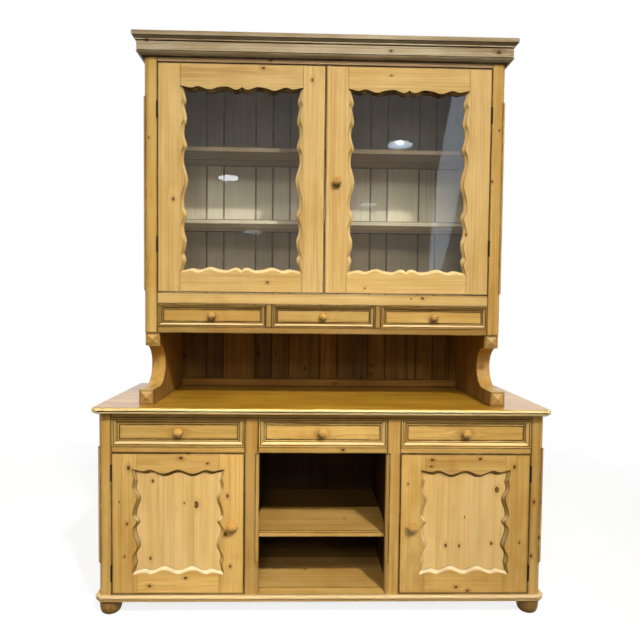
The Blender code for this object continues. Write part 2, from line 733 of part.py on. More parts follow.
def make_cabinet_boards():
    step = CABINET_POST_BACK + GAP
    front_half = CABINET_POST_INNER - GAP
    back_half = CABINET_INNER_HALF - GAP
    back = BASE_BACK_FACE - GAP
    outline = notched_outline(front_half, back_half, CABINET_FRONT, step, back)
    outline_solid("cabinet_bottom_board", outline, CABINET_UNDERSIDE, CABINET_BOTTOM_TOP, "XY", "pine")
    rail_back = CABINET_FRONT + FACE_RAIL_THICKNESS
    board_underside = FLOOR_TOP - FLOOR_BOARD_THICKNESS
    section = [
        (CABINET_FRONT, FLOOR_RAIL_UNDERSIDE),
        (rail_back, FLOOR_RAIL_UNDERSIDE),
        (rail_back, board_underside),
        (back, board_underside),
        (back, FLOOR_TOP),
        (CABINET_FRONT, FLOOR_TOP),
    ]
    floor = outline_solid("cabinet_floor", section, -back_half, back_half, "YZ", "pine")
    for side in (-1, 1):
        notch = board(
            "floor_notch_" + side_name(side), ordered(side * front_half, side * (back_half + OVERSHOOT)),
            (CABINET_FRONT - OVERSHOOT, step), (FLOOR_RAIL_UNDERSIDE - OVERSHOOT, FLOOR_TOP + OVERSHOOT), None,
        )
        cut(floor, notch)
        board(
            "drawer_divider_" + side_name(side), ordered(side * DIVIDER_INNER, side * DIVIDER_OUTER),
            (CABINET_FRONT, back), (CABINET_BOTTOM_TOP + GAP, FLOOR_RAIL_UNDERSIDE - GAP), "pine",
        )
    for name, height in (("lower", LOWER_SHELF_HEIGHT), ("upper", UPPER_SHELF_HEIGHT)):
        top = FLOOR_TOP + height
        board(
            "cabinet_shelf_" + name, (-back_half, back_half), (back - SHELF_DEPTH, back),
            (top - SHELF_THICKNESS, top), "painted",
        )
    board(
        "frieze_rail", (-front_half, front_half), (CABINET_FRONT, rail_back),
        (FRIEZE_UNDERSIDE, CARCASS_TOP), "pine",
    )
    top_outline = notched_outline(front_half, back_half, rail_back + GAP, step, back)
    outline_solid(
        "cabinet_top_board", top_outline, CARCASS_TOP - CABINET_TOP_THICKNESS, CARCASS_TOP, "XY", "bare_pine",
    )


def make_cabinet_back():
    """Back boards from the base's top to the cabinet's top, with a rail at the niche's foot."""
    back = back_boards(
        "cabinet_back_boards", CABINET_INNER_HALF - GAP, (BASE_BACK_FACE, BASE_BACK), (BRACKET_FOOT, CARCASS_TOP),
        CABINET_BACK_PATTERN, "painted",
    )
    half = CABINET_HALF - BRACKET_INSET - BRACKET_THICKNESS - GAP
    sunk = BACK_THICKNESS / 2
    rail = board(
        "niche_back_rail", (-half, half), (BASE_BACK_FACE - NICHE_RAIL_THICKNESS, BASE_BACK_FACE + sunk),
        (BRACKET_FOOT + GAP, BRACKET_FOOT + NICHE_RAIL_HEIGHT), None,
    )
    join(back, rail)


def cornice_profile():
    """Fillet, cove, bead, flat fascia and ogee, listed round the section from the top."""
    top = CORNICE_FOOT + CORNICE_HEIGHT
    out = CORNICE_PROJECTION
    fillet_foot = top - CORNICE_HEIGHT * 0.205
    bead_top = fillet_foot - CORNICE_HEIGHT * 0.090
    bead_foot = bead_top - CORNICE_HEIGHT * 0.080
    fascia_top = bead_foot - CORNICE_HEIGHT * 0.025
    fascia_foot = fascia_top - CORNICE_HEIGHT * 0.395
    ogee_top = fascia_foot - CORNICE_HEIGHT * 0.050
    return [
        (GAP, top),
        (out * 0.97, top),
        (out, top - CORNICE_HEIGHT * 0.03),
        (out * 0.99, fillet_foot),
        (out * 0.84, (fillet_foot + bead_top) / 2),
        (out * 0.66, bead_top),
        (out * 0.70, (bead_top + bead_foot) / 2),
        (out * 0.65, bead_foot),
        (out * 0.52, bead_foot - CORNICE_HEIGHT * 0.008),
        (out * 0.59, fascia_top),
        (out * 0.59, fascia_foot),
        (out * 0.48, fascia_foot - CORNICE_HEIGHT * 0.025),
        (out * 0.65, ogee_top),
        (out * 0.60, ogee_top - CORNICE_HEIGHT * 0.040),
        (out * 0.36, ogee_top - CORNICE_HEIGHT * 0.095),
        (out * 0.24, ogee_top - CORNICE_HEIGHT * 0.130),
        (out * 0.20, CORNICE_FOOT),
        (GAP, CORNICE_FOOT),
    ]


def make_cornice():
    """Square at its corners, unlike the canted posts below it."""
    half = CABINET_HALF
    path = [(-half, BASE_BACK), (-half, CABINET_FRONT), (half, CABINET_FRONT), (half, BASE_BACK)]
    moulding("cornice", cornice_profile(), path, "weathered_pine")


def scallop_share(keys, place):
    """The height of a scalloped edge, as a share of its tallest hump, at a place from 0 to 1."""
    place = min(place, 1 - place)
    for (start, low, sharp_start), (end, high, sharp_end) in zip(keys, keys[1:]):
        if place <= end:
            t = (place - start) / (end - start)
            if sharp_start:
                ease = math.sin(t * math.pi / 2)
            elif sharp_end:
                ease = 1 - math.cos(t * math.pi / 2)
            else:
                ease = (1 - math.cos(t * math.pi)) / 2
            return low + (high - low) * ease
    return keys[-1][1]


def scalloped_loop(x, z, height, rail_keys, stile_keys, inset):
    """A scalloped opening's outline, seen from the front, set in by a distance all round."""
    left, right = x[0] + inset, x[1] - inset
    low, high = z[0] + inset, z[1] - inset
    points = []
    for i in range(SIDE_SAMPLES):
        s = i / SIDE_SAMPLES
        rail = height * scallop_share(rail_keys, s)
        points.append((left + (right - left) * s, low + rail))
    for i in range(SIDE_SAMPLES):
        s = i / SIDE_SAMPLES
        stile = height * scallop_share(stile_keys, s)
        points.append((right - stile, low + (high - low) * s))
    for i in range(SIDE_SAMPLES):
        s = i / SIDE_SAMPLES
        rail = height * scallop_share(rail_keys, s)
        points.append((right - (right - left) * s, high - rail))
    for i in range(SIDE_SAMPLES):
        s = i / SIDE_SAMPLES
        stile = height * scallop_share(stile_keys, s)
        points.append((left + stile, high - (high - low) * s))
    return points


def rectangle(x, z):
    return [(x[0], z[0]), (x[1], z[0]), (x[1], z[1]), (x[0], z[1])]


def scalloped_frame(name, door_x, door_z, y_front, opening_x, opening_z, height, rail_keys, stile_keys):
    """A door frame: a scalloped, bevelled opening in front and a square rebate behind."""
    front = scalloped_loop(opening_x, opening_z, height, rail_keys, stile_keys, 0.0)
    inner = scalloped_loop(opening_x, opening_z, height, rail_keys, stile_keys, SCALLOP_BEVEL)
    outer = rectangle(door_x, door_z)
    rebate = rectangle(*rebate_limits(opening_x, opening_z))
    bevel_back = y_front + SCALLOP_BEVEL_DEPTH
    land_back = bevel_back + SCALLOP_LAND
    y_back = y_front + DOOR_THICKNESS
    shape = bmesh.new()

    def ring(points, y):
        verts = [shape.verts.new((px, y, pz)) for px, pz in points]
        edges = [shape.edges.new((a, b)) for a, b in zip(verts, verts[1:] + verts[:1])]
        return verts, edges

    def wall(one, other):
        a, b = one[0], other[0]
        for i in range(len(a)):
            j = (i + 1) % len(a)
            shape.faces.new((a[i], a[j], b[j], b[i]))

    def flat(one, other):
        bmesh.ops.triangle_fill(shape, edges=one[1] + other[1], use_beauty=True)

    outer_front, outer_back = ring(outer, y_front), ring(outer, y_back)
    bevel_front, bevel_foot = ring(front, y_front), ring(inner, bevel_back)
    land = ring(inner, land_back)
    rebate_front, rebate_back = ring(rebate, land_back), ring(rebate, y_back)
    flat(outer_front, bevel_front)
    wall(bevel_front, bevel_foot)
    wall(bevel_foot, land)
    flat(land, rebate_front)
    wall(rebate_front, rebate_back)
    flat(rebate_back, outer_back)
    wall(outer_back, outer_front)
    return add_part(name, mesh_from(name, shape), "pine")


def rebate_limits(opening_x, opening_z):
    """The square rebate behind a scalloped opening."""
    reach = REBATE_OVERLAP
    return (opening_x[0] - reach, opening_x[1] + reach), (opening_z[0] - reach, opening_z[1] + reach)


def let_in(name, opening_x, opening_z, y_front, thickness, finish):
    """A pane or panel that fills a door's rebate."""
    x, z = rebate_limits(opening_x, opening_z)
    y = y_front + SCALLOP_BEVEL_DEPTH + SCALLOP_LAND + GAP
    return board(name, (x[0] + GAP, x[1] - GAP), (y, y + thickness), (z[0] + GAP, z[1] - GAP), finish)


def knob_profile(radius):
    """A mushroom knob on a waisted stem, from the crown of its head down to its seat."""
    length = radius * KNOB_LENGTH_RATIO
    head = length * 0.42
    middle = length - head
    profile = [(0.0, length)]
    for angle in (30, 60, 90):
        turn = math.radians(angle)
        profile.append((radius * math.sin(turn), middle + head * math.cos(turn)))
    profile.append((radius * 0.88, middle - head * 0.35))
    profile.append((radius * 0.50, middle - head * 0.62))
    profile.append((radius * 0.42, length * 0.18))
    profile.append((radius * 0.58, length * 0.06))
    profile.append((radius * 0.58, 0.0))
    profile.append((0.0, 0.0))
    return profile


def make_knob(name, radius, x, y_seat, z):
    knob = turned(name, knob_profile(radius), TURNING_STEPS, "pine")
    knob.rotation_euler = (math.radians(90), 0.0, 0.0)
    knob.location = (x, y_seat - GAP, z)
    return knob


def make_hinge(name, side, post_edge, y_front, z):
    """A butt hinge: its barrel in front of the gap and its leaf against the post."""
    x = side * (post_edge - HINGE_GAP / 2)
    shape = bmesh.new()
    bmesh.ops.create_cone(
        shape, cap_ends=True, segments=12, radius1=BARREL_RADIUS, radius2=BARREL_RADIUS, depth=HINGE_LENGTH,
    )
    hinge = add_part(name, mesh_from(name, shape), "iron")
    y_axis = hinge_axis_y(y_front)
    hinge.location = (x, y_axis, z)
    leaf_x = ordered(side * (post_edge - GAP), side * (post_edge - GAP - LEAF_THICKNESS))
    leaf_z = (z - HINGE_LENGTH * 0.48, z + HINGE_LENGTH * 0.48)
    leaf = board(name + "_leaf", leaf_x, (y_axis, y_front + LEAF_DEPTH), leaf_z, None)
    return join(hinge, leaf)


def hinge_axis_y(y_front):
    return y_front - BARREL_RADIUS - GAP


def hinge_axis(side, post_edge, y_front):
    return (side * (post_edge - HINGE_GAP / 2), hinge_axis_y(y_front))


def make_glazed_doors():
    z = (FLOOR_TOP + DOOR_GAP, FRIEZE_UNDERSIDE - DOOR_GAP)
    opening_z = (z[0] + GLAZED_BOTTOM_RAIL, z[1] - GLAZED_TOP_RAIL)
    free_edge = DOOR_GAP / 2
    outer_edge = CABINET_POST_INNER - HINGE_GAP
    for side in (-1, 1):
        word = side_name(side)
        x = ordered(side * free_edge, side * outer_edge)
        opening_x = ordered(
            side * (free_edge + GLAZED_MEETING_STILE), side * (outer_edge - GLAZED_OUTER_STILE),
        )
        frame = scalloped_frame(
            "glazed_door_frame_" + word, x, z, CABINET_FRONT, opening_x, opening_z,
            GLAZED_SCALLOP, GLAZED_RAIL_SCALLOP, GLAZED_STILE_SCALLOP,
        )
        pane = let_in("glass_pane_" + word, opening_x, opening_z, CABINET_FRONT, GLASS_THICKNESS, "glass")
        pieces = [frame, pane]
        if side > 0:
            join(frame, make_astragal(free_edge, z))
            knob_x = free_edge + GLAZED_KNOB_INSET
            pieces.append(make_knob(
                "glazed_door_knob", GLAZED_KNOB, knob_x, CABINET_FRONT, FLOOR_TOP + GLAZED_KNOB_HEIGHT,
            ))
        for row, height in zip(("lower", "upper"), GLAZED_HINGE_HEIGHTS):
            make_hinge(
                "glazed_hinge_%s_%s" % (word, row), side, CABINET_POST_INNER, CABINET_FRONT, FLOOR_TOP + height,
            )
        axis = hinge_axis(side, CABINET_POST_INNER, CABINET_FRONT)
        joint_empty("glazed_door_axis_" + word, (*axis, z[0]), pieces)


def make_astragal(free_edge, z):
    """A half-round bead down the right glazed door's meeting edge."""
    half = ASTRAGAL_WIDTH / 2
    sunk = ASTRAGAL_HEIGHT / 3
    middle = free_edge + ASTRAGAL_INSET + half
    outline = [(middle - half, CABINET_FRONT + sunk), (middle + half, CABINET_FRONT + sunk)]
    for angle in range(0, 181, 30):
        turn = math.radians(angle)
        outline.append((middle + half * math.cos(turn), CABINET_FRONT - ASTRAGAL_HEIGHT * math.sin(turn)))
    return outline_solid("astragal", outline, z[0] + ASTRAGAL_END, z[1] - ASTRAGAL_END, "XY", None)


def make_cupboard_doors():
    z = (BOTTOM_BOARD_TOP + CUPBOARD_FOOT_GAP, DRAWER_BOARD_UNDERSIDE - DOOR_GAP)
    opening_z = (z[0] + CUPBOARD_BOTTOM_RAIL, z[1] - CUPBOARD_TOP_RAIL)
    free_edge = MID_OUTER + DOOR_GAP
    outer_edge = BASE_POST_INNER - HINGE_GAP
    for side in (-1, 1):
        word = side_name(side)
        x = ordered(side * free_edge, side * outer_edge)
        opening_x = ordered(
            side * (free_edge + CUPBOARD_INNER_STILE), side * (outer_edge - CUPBOARD_OUTER_STILE),
        )
        frame = scalloped_frame(
            "cupboard_door_frame_" + word, x, z, BASE_FRONT, opening_x, opening_z,
            CUPBOARD_SCALLOP, CUPBOARD_RAIL_SCALLOP, CUPBOARD_STILE_SCALLOP,
        )
        panel = let_in("cupboard_panel_" + word, opening_x, opening_z, BASE_FRONT, PANEL_THICKNESS, "pine")
        knob = make_knob(
            "cupboard_knob_" + word, CUPBOARD_KNOB, side * (free_edge + CUPBOARD_KNOB_INSET), BASE_FRONT,
            BOTTOM_BOARD_TOP + CUPBOARD_KNOB_HEIGHT,
        )
        for row, height in zip(("lower", "upper"), CUPBOARD_HINGE_HEIGHTS):
            make_hinge(
                "cupboard_hinge_%s_%s" % (word, row), side, BASE_POST_INNER, BASE_FRONT, BOTTOM_BOARD_TOP + height,
            )
        axis = hinge_axis(side, BASE_POST_INNER, BASE_FRONT)
        joint_empty("cupboard_door_axis_" + word, (*axis, z[0]), [frame, panel, knob])


def sunk_field(name, x, y_front, z, border):
    """A cutter for a drawer front: sloping in from the border's flat edge to a flat field."""
    proud = FIELD_DEPTH / 4
    slope = (border - MOULDING_EDGE) / FIELD_DEPTH
    y = (y_front - proud, y_front + FIELD_DEPTH)
    shape = bmesh.new()
    mouth = MOULDING_EDGE - slope * proud
    for level, margin in ((y[0], mouth), (y[1], border)):
        for px, pz in rectangle((x[0] + margin, x[1] - margin), (z[0] + margin, z[1] - margin)):
            shape.verts.new((px, level, pz))
    bmesh.ops.convex_hull(shape, input=shape.verts)
    return add_part(name, mesh_from(name, shape), None)


def make_drawer(name, x_opening, z_opening, y_front, y_back, border, knob_radius):
    """A drawer: its moulded front and open box in one, and its knob."""
    x = (x_opening[0] + DRAWER_GAP, x_opening[1] - DRAWER_GAP)
    z = (z_opening[0] + FRONT_FOOT_GAP, z_opening[1] - DRAWER_GAP)
    box_x = (x_opening[0] + BOX_GAP, x_opening[1] - BOX_GAP)
    box_foot = z_opening[0] + RUNNING_GAP
    box_top = z_opening[1] - BOX_TOP_DROP
    front_back = y_front + FRONT_THICKNESS
    box_back = y_back - BOX_BACK_SPACE
    drawer = board(name, x, (y_front, front_back), z, "pine")
    box = board(name + "_box", box_x, (y_front + FRONT_THICKNESS * 0.8, box_back), (box_foot, box_top), None)
    inside = board(
        name + "_inside", (box_x[0] + BOX_SIDE_THICKNESS, box_x[1] - BOX_SIDE_THICKNESS),
        (front_back, box_back - BOX_SIDE_THICKNESS), (box_foot + BOX_BOTTOM_THICKNESS, z[1] + OVERSHOOT), None,
    )
    cut(cut(join(drawer, box), inside), sunk_field(name + "_field", x, y_front, z, border))
    centre = (sum(x) / 2, sum(z) / 2)
    knob = make_knob(name + "_knob", knob_radius, centre[0], y_front + FIELD_DEPTH, centre[1])
    joint_empty(name + "_axis", (centre[0], y_front, centre[1]), [drawer, knob])


def make_drawers():
    rows = (
        ("base_drawer", MID_INNER, MID_OUTER, BASE_POST_INNER, (DRAWER_BOARD_TOP, TOP_RAIL_UNDERSIDE),
         BASE_FRONT, BASE_MOULDING, BASE_DRAWER_KNOB),
        ("small_drawer", DIVIDER_INNER, DIVIDER_OUTER, CABINET_POST_INNER,
         (CABINET_BOTTOM_TOP, FLOOR_RAIL_UNDERSIDE), CABINET_FRONT, SMALL_MOULDING, SMALL_DRAWER_KNOB),
    )
    for name, inner, outer, end, z, y_front, border, knob_radius in rows:
        openings = {"left": (-end, -outer), "centre": (-inner, inner), "right": (outer, end)}
        for word, x in openings.items():
            make_drawer("%s_%s" % (name, word), x, z, y_front, BASE_BACK_FACE, border, knob_radius)


def main():
    make_base_ends()
    make_mid_posts()
    make_base_boards()
    make_top_board()
    make_plinth()
    make_feet()
    make_brackets()
    make_cabinet_ends()
    make_cabinet_boards()
    make_cabinet_back()
    make_cornice()
    make_glazed_doors()
    make_cupboard_doors()
    make_drawers()


clear_scene()
parts = new_collection("pine_dresser")
cutters = new_collection("cutters")
main()
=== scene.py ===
"""The looks of an old pine dresser: grained boards, mouldings, scalloped doors and glass.

Metres, +Z up, the front faces -Y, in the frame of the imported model.
"""

import math
import random

import bmesh
import bpy
from mathutils import Matrix, Vector


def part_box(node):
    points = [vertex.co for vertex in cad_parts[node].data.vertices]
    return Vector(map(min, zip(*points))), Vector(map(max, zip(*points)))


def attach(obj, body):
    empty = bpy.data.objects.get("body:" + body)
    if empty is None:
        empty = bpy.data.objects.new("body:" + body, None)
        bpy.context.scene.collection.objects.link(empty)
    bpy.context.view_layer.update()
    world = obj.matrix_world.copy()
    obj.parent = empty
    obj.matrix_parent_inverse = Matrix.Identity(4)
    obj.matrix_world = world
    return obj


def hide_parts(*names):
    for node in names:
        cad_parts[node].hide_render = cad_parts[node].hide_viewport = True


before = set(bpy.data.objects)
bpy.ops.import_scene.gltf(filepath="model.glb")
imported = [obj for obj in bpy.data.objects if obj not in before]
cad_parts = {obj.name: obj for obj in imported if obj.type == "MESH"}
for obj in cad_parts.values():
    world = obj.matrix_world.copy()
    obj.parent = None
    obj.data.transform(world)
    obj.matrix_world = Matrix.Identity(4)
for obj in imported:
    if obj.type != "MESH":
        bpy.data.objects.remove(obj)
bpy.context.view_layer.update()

# The photograph's camera
CAMERA_PLACE = (-0.0713, -2.0866, 1.109)
CAMERA_YAW = 0.0234          # radians towards +X
CAMERA_DOWN = 0.0393
CAMERA_ROLL = 0.0107
FOCAL_PIXELS = 530.0
IMAGE_PIXELS = 640.0
SENSOR = 36.0
CENTRE_SHIFT = (0.0057, 0.00392)

# Light and ground
WARM, COOL, BLUE, WHITE = (1.0, 0.97, 0.92), (0.8, 0.9, 1.0), (0.72, 0.85, 1.0), (1, 1, 1)
ALL_ROUND = 180.0            # spread of a lamp without blinds, in degrees
STREAK_ROLL = -9.0           # degrees by which the long lamp's mirror image leans
RIGHT_PANE, LEFT_PANE = (0.27, -0.132, 1.66), (-0.33, -0.132, 1.55)
AMBIENT = 0.06               # strength of the plain light from all round
FLOOR_GLOW = 0.84            # what makes the lit floor white to the camera
FLOOR_MATT = 0.22
FLOOR_FADE = (1.6, 3.2)      # distances between which the floor turns to plain white
FLOOR_REACH = 14.0

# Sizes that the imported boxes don't give, of the base and of the cabinet
CANT = {"base": 0.013, "cabinet": 0.011}
POST = {"base": (0.0445, 0.045), "cabinet": (0.047, 0.04)}      # width and depth
POST_INNER = {"base": 0.7365, "cabinet": 0.605}
SIDE_BOARD = {"base": 0.022, "cabinet": 0.02}
SIDE_COUNT = {"base": 3, "cabinet": 2}
SIDE_INSIDE = {"base": "raw", "cabinet": "paint"}
STRIPS = {                   # foot, length, width and thickness of the strip on a post's cant
    "base": (0.1873, 0.411, 0.018, 0.0055), "mid": (0.1873, 0.388, 0.018, 0.0055),
    "cabinet": (1.1439, 0.695, 0.015, 0.005),
}
STRIP_SUNK = 0.16            # share of a strip's thickness that lies below the cant
STRIP_BEVEL = 0.0016
MID_POST = (0.2265, 0.2725)
PARTITION = (0.2395, 0.2595)
BASE_HALF_WIDTH = 0.781
BACK_FACE = 0.2395
TOP_CANT = 0.022
NOSING = 0.009
TOP_JOINTS = (0.0, 0.235, 0.5, 0.74, 1.0)    # its boards' edges, as shares from front to back
JOINT = 0.0003
EDGE = 0.0011                # rounding of a sawn board's edge
MOST_ROUNDING = 0.45         # share of a thin board's half thickness
NARROW_BOARD = 0.0735
BOARD_PATTERN = {"cabinet": "WNWNNWNWNWNW", "base": "WNWWNWWNW"}
NICHE_RAIL = (0.5982, 0.0335, 0.012)     # half length, height and thickness
PAINT_FOOT = 1.05            # the back boards are painted above this level
CABINET_RAIL = 0.02          # thickness of the rail below the glazed doors
CABINET_FLOOR = 0.018
DIVIDER_FACE = 0.03
SHELF_JOINT = 0.56           # share of the depth
FOOT_BLOCK, HEAD_BLOCK = 0.0535, 0.0475
HEAD_BLOCK_BACK = 0.006
HOLLOW_BACK = 0.016
POINT_RISE, POINT_MARGIN, POINT_KERB = 0.004669, 0.004, 0.003
POINT_STEPS = (0.1, 0.22)    # the kerb's height and the pyramid's foot, as shares of the rise
POINT_SEAT = 0.0005
POINT_SHADE_AND_HIGHLIGHT = ((0.4, 0.0), (0.15, 0.0), (0.0, 0.18), (0.2, 0.0))      # painted shade and painted highlight on the point's facets, bottom first
SCALLOP_SAMPLES = 90
SCALLOP_LAND = 0.012
REBATE_REACH = 0.003
MOULDING = {"base": 0.026, "small": 0.02}
FIELD_DEPTH = 0.008
DRAWER_FRONT = 0.02
DRAWER_WALL = 0.01
DRAWER_GAP = 0.0016
DRAWER_LOW = 0.0106          # how far a drawer's sides stay below its front's top
DRAWER_BACK = 0.004          # the back's foot above the drawer's own
DRAWER_FLOOR = (0.001, 0.0085)           # its underside and top above the drawer's foot
OVERLAP = 0.001              # of boards that meet in a drawer
HINGE_X = {"glazed": 0.604, "cupboard": 0.7355}
HINGE_PIN = 0.0034
HINGE_GAP = 0.0004           # at each end of a knuckle
HINGE_LEAF = (0.0007, 0.0016)            # from the pin's axis outwards
PIN_END = 0.02               # share of the height
KNUCKLES = 5
ASTRAGAL = (0.01, 0.007)     # half width and height
ASTRAGAL_SEAT, ASTRAGAL_END = 0.002, 0.003

# Scalloped edges: place along the side and height of the tallest hump, and which are cusps
GLAZED_SCALLOPS = (
    (
        (0.0, 0.0), (0.085, 0.55), (0.14, 0.05), (0.235, 1.0), (0.295, 0.4, "cusp"), (0.375, 0.05),
        (0.455, 0.92), (0.5, 0.1, "cusp"),
    ), (
        (0.0, 0.0), (0.06, 0.75), (0.09, 0.1, "cusp"), (0.17, 0.9), (0.2, 0.3, "cusp"),
        (0.24, 0.1), (0.315, 1.0), (0.34, 0.3, "cusp"), (0.385, 0.05), (0.5, 1.25),
    ),
)
CUPBOARD_SCALLOPS = (
    ((0.0, 0.0), (0.12, 0.45), (0.19, 0.1), (0.34, 1.0), (0.5, 0.1)),
    (
        (0.0, 0.0), (0.09, 0.4, "cusp"), (0.165, 0.1), (0.264, 1.0), (0.35, 0.45, "cusp"),
        (0.435, 0.1), (0.5, 0.9),
    ),
)
# Doors: stiles at the hinge and the free edge, bottom and top rail, the scallops of a rail and a
# stile and their height, how far inside the opening the rails begin, painted shade on edges that
# face down, darkening on those that face the middle, and a painted highlight on those that face up
DOORS = {
    "glazed": ((0.08, 0.0795), (0.069, 0.08), GLAZED_SCALLOPS, 0.012, -0.0008, "door", (1.0, 0.0, 0.45)),
    "cupboard": (
        (0.069, 0.069), (0.066, 0.056), CUPBOARD_SCALLOPS, 0.016, 0.017, "cupboard_door", (0.65, 0.4, 0.95),
    ),
}
# Tones of a door's members; the top rails' darker tone is partly painted shade from the parts above
DOOR_TONES_AND_SHADE = {
    "left": (0.0, 0.02, 0.0), "right": (0.0, 0.02, 0.0), "low": (0.03, 0.0, 0.0), "high": (-0.03, 0.0, 0.02),
}

# Moulded edge of a scalloped frame: inset, depth and how grimy it is
SCALLOP_PROFILE = (
    (0.0, 0.0, 0.05), (0.0008, 0.0016, 0.55), (0.0022, 0.003, 0.1), (0.0052, 0.0052, 0.0),
    (0.0088, 0.008, 0.0), (0.0112, 0.0098, 0.2), (0.012, 0.0108, 0.9),
)
# A drawer front's moulding, as shares of its width and of the field's depth, and grime, painted shade at its
# outer edge
DRAWER_PROFILE = (
    (0.0, 1.15, 1.0), (0.0, 0.08, 0.9), (0.025, 0.0, 0.45), (0.05, 0.0, 0.0),
    (0.155, 0.0, 0.0), (0.165, 0.1, 0.9), (0.225, 0.28, 1.0), (0.265, 0.1, 0.8),
    (0.285, 0.06, 0.0), (0.47, 0.32, 0.0), (0.625, 0.66, 0.05), (0.645, 0.86, 0.95),
    (0.72, 0.8, 0.95), (0.74, 0.66, 0.05), (0.8, 0.62, 0.0), (0.86, 0.74, 0.15),
    (0.88, 1.12, 1.0), (1.0, 1.02, 0.9),
)
DRAWER_SHADES = {
    "base_drawer_left": (-0.14, 0.0, 0.0), "base_drawer_centre": (0.07, 0.0, 0.07),
    "base_drawer_right": (0.03, 0.0, 0.0), "small_drawer_left": (-0.36, 0.04, 0.0),
    "small_drawer_centre": (-0.4, 0.04, 0.0), "small_drawer_right": (-0.35, 0.04, 0.0),
}
FIELD_PALER = {"base": 0.0, "small": 0.22}
# Of the bottom, right, top and left moulding: tone, slope shade and slope highlight, all painted light
DRAWER_SIDE_LIGHT = (0.05, -0.03, -0.06, -0.03)
SLOPE_SHADE = (0.0, 0.1, 0.42, 0.35)
SLOPE_HIGHLIGHT = (0.55, 0.25, 0.0, 0.0)
SLOPE = (0.3, 0.64)          # the part of the moulding that slopes in
KNOB_SHADOW_SIZE = {"base": 0.01, "small": 0.0068}   # half width of the dark stain and painted shadow under a knob
KNOB_SHADOW_DROP = 0.006
# A knob below its widest ring, as shares of its radius and of its head's and its own length
KNOB_HEAD = 0.42
KNOB_UNDERSIDE = ((0.985, 0.12), (0.9, 0.32), (0.72, 0.5), (0.52, 0.64))
KNOB_STEM = ((0.43, 0.26), (0.42, 0.18), (0.5, 0.1), (0.57, 0.06), (0.58, 0.0), (0.0, 0.0))
KNOB_TONES = {"small": -0.12, "base": -0.04, "cupboard": 0.05, "glazed": -0.08}
# The cornice from its top down, as shares of its reach and height, and grime and painted shade
CORNICE_PROFILE = (
    (0.96, 0.0, 0.15), (0.995, 0.012, 0.0), (1.0, 0.03, 0.0), (0.995, 0.175, 0.0),
    (0.985, 0.2, 0.55), (0.935, 0.215, 0.95), (0.89, 0.23, 0.45), (0.78, 0.27, 0.4),
    (0.68, 0.29, 0.75), (0.665, 0.297, 0.3), (0.69, 0.308, 0.0), (0.705, 0.335, 0.0),
    (0.69, 0.36, 0.05), (0.64, 0.373, 0.95), (0.53, 0.383, 1.0), (0.58, 0.396, 0.85),
    (0.59, 0.412, 0.05), (0.59, 0.6, 0.0), (0.59, 0.778, 0.0), (0.58, 0.793, 0.6),
    (0.49, 0.81, 1.0), (0.64, 0.838, 0.6), (0.655, 0.848, 0.0), (0.6, 0.885, 0.0),
    (0.48, 0.913, 0.05), (0.36, 0.94, 0.1), (0.25, 0.962, 0.35), (0.2, 0.98, 0.95),
    (0.2, 1.0, 1.0),
)

# Knots at given places: x, z and half width
POST_KNOTS = {("base", 1): ((0.7511, 0.4068, 0.0042), (0.7456, 0.2117, 0.0042))}
RAIL_KNOTS = ((0.0699, 0.5904, 0.0042),)
CORNICE_KNOTS = {1: ((0.618, 2.008, 0.0062), (-0.635, 2.024, 0.004), (0.23, 2.005, 0.0036))}
DOOR_KNOTS = {
    ("glazed", -1): {
        "high": ((-0.2254, 1.9446, 0.0045),), "right": ((-0.0498, 1.9058, 0.0038),),
        "low": ((-0.2056, 1.1769, 0.004),),
    },
    ("glazed", 1): {
        "high": ((0.236, 1.928, 0.003), (0.313, 1.979, 0.0026)), "left": ((-0.006, 1.61, 0.0022),),
        "right": ((0.52, 1.36, 0.0034),), "low": ((0.15, 1.16, 0.0028),),
    },
    ("cupboard", -1): {
        "high": ((-0.4948, 0.5599, 0.005), (-0.4706, 0.5705, 0.003), (-0.4029, 0.5426, 0.0034)),
        "low": ((-0.4788, 0.1335, 0.0042), (-0.6045, 0.105, 0.0042)),
        "left": ((-0.6763, 0.524, 0.0052), (-0.6821, 0.3261, 0.0034), (-0.6905, 0.21, 0.0028)),
        "right": ((-0.3329, 0.426, 0.0042), (-0.3393, 0.2908, 0.0044), (-0.323, 0.175, 0.0036)),
    },
    ("cupboard", 1): {
        "high": ((0.386, 0.5562, 0.0048), (0.3828, 0.5384, 0.0036), (0.5562, 0.5604, 0.0042)),
        "low": ((0.479, 0.0994, 0.0044), (0.5205, 0.0884, 0.004)), "left": ((0.301, 0.47, 0.0026),),
        "right": ((0.678, 0.5323, 0.0046), (0.702, 0.26, 0.003)),
    },
}
PANEL_KNOTS = {
    -1: (
        (-0.4442, 0.3903, 0.0085), (-0.486, 0.3956, 0.0026), (-0.6043, 0.198, 0.0042),
        (-0.596, 0.474, 0.0046),
    ),
    1: (
        (0.6213, 0.4461, 0.0074), (0.442, 0.2443, 0.0048), (0.4902, 0.2425, 0.0042),
        (0.6063, 0.2515, 0.0042),
    ),
}
NO_KNOTS = [(50.0, 50.0, 0.0)] * 3       # far from every board

SIDES = (-1, 1)              # left and right
BOARD_DATA = ("place", "half", "tone", "extra", "knot_a", "knot_b", "knot_c")
AXES = {"X": Vector((1, 0, 0)), "Y": Vector((0, 1, 0)), "Z": Vector((0, 0, 1))}
MATERIALS = {}
FRONTS = {"base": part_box("base_top_rail")[0].y, "cabinet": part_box("cabinet_bottom_board")[0].y}

SMOOTH_ANGLE = 42            # degrees up to which faces meet softly
TONE_CHANCE = ((-0.055, 0.045), (0.0, 0.07), (0.0, 0.05))    # brighter, warmer, greyer
KNOT_DENSITY, MOST_KNOTS = 14.0, 0.85        # chance of a knot for each square metre, and at most
KNOT_SIZES = (0.0018, 0.005)

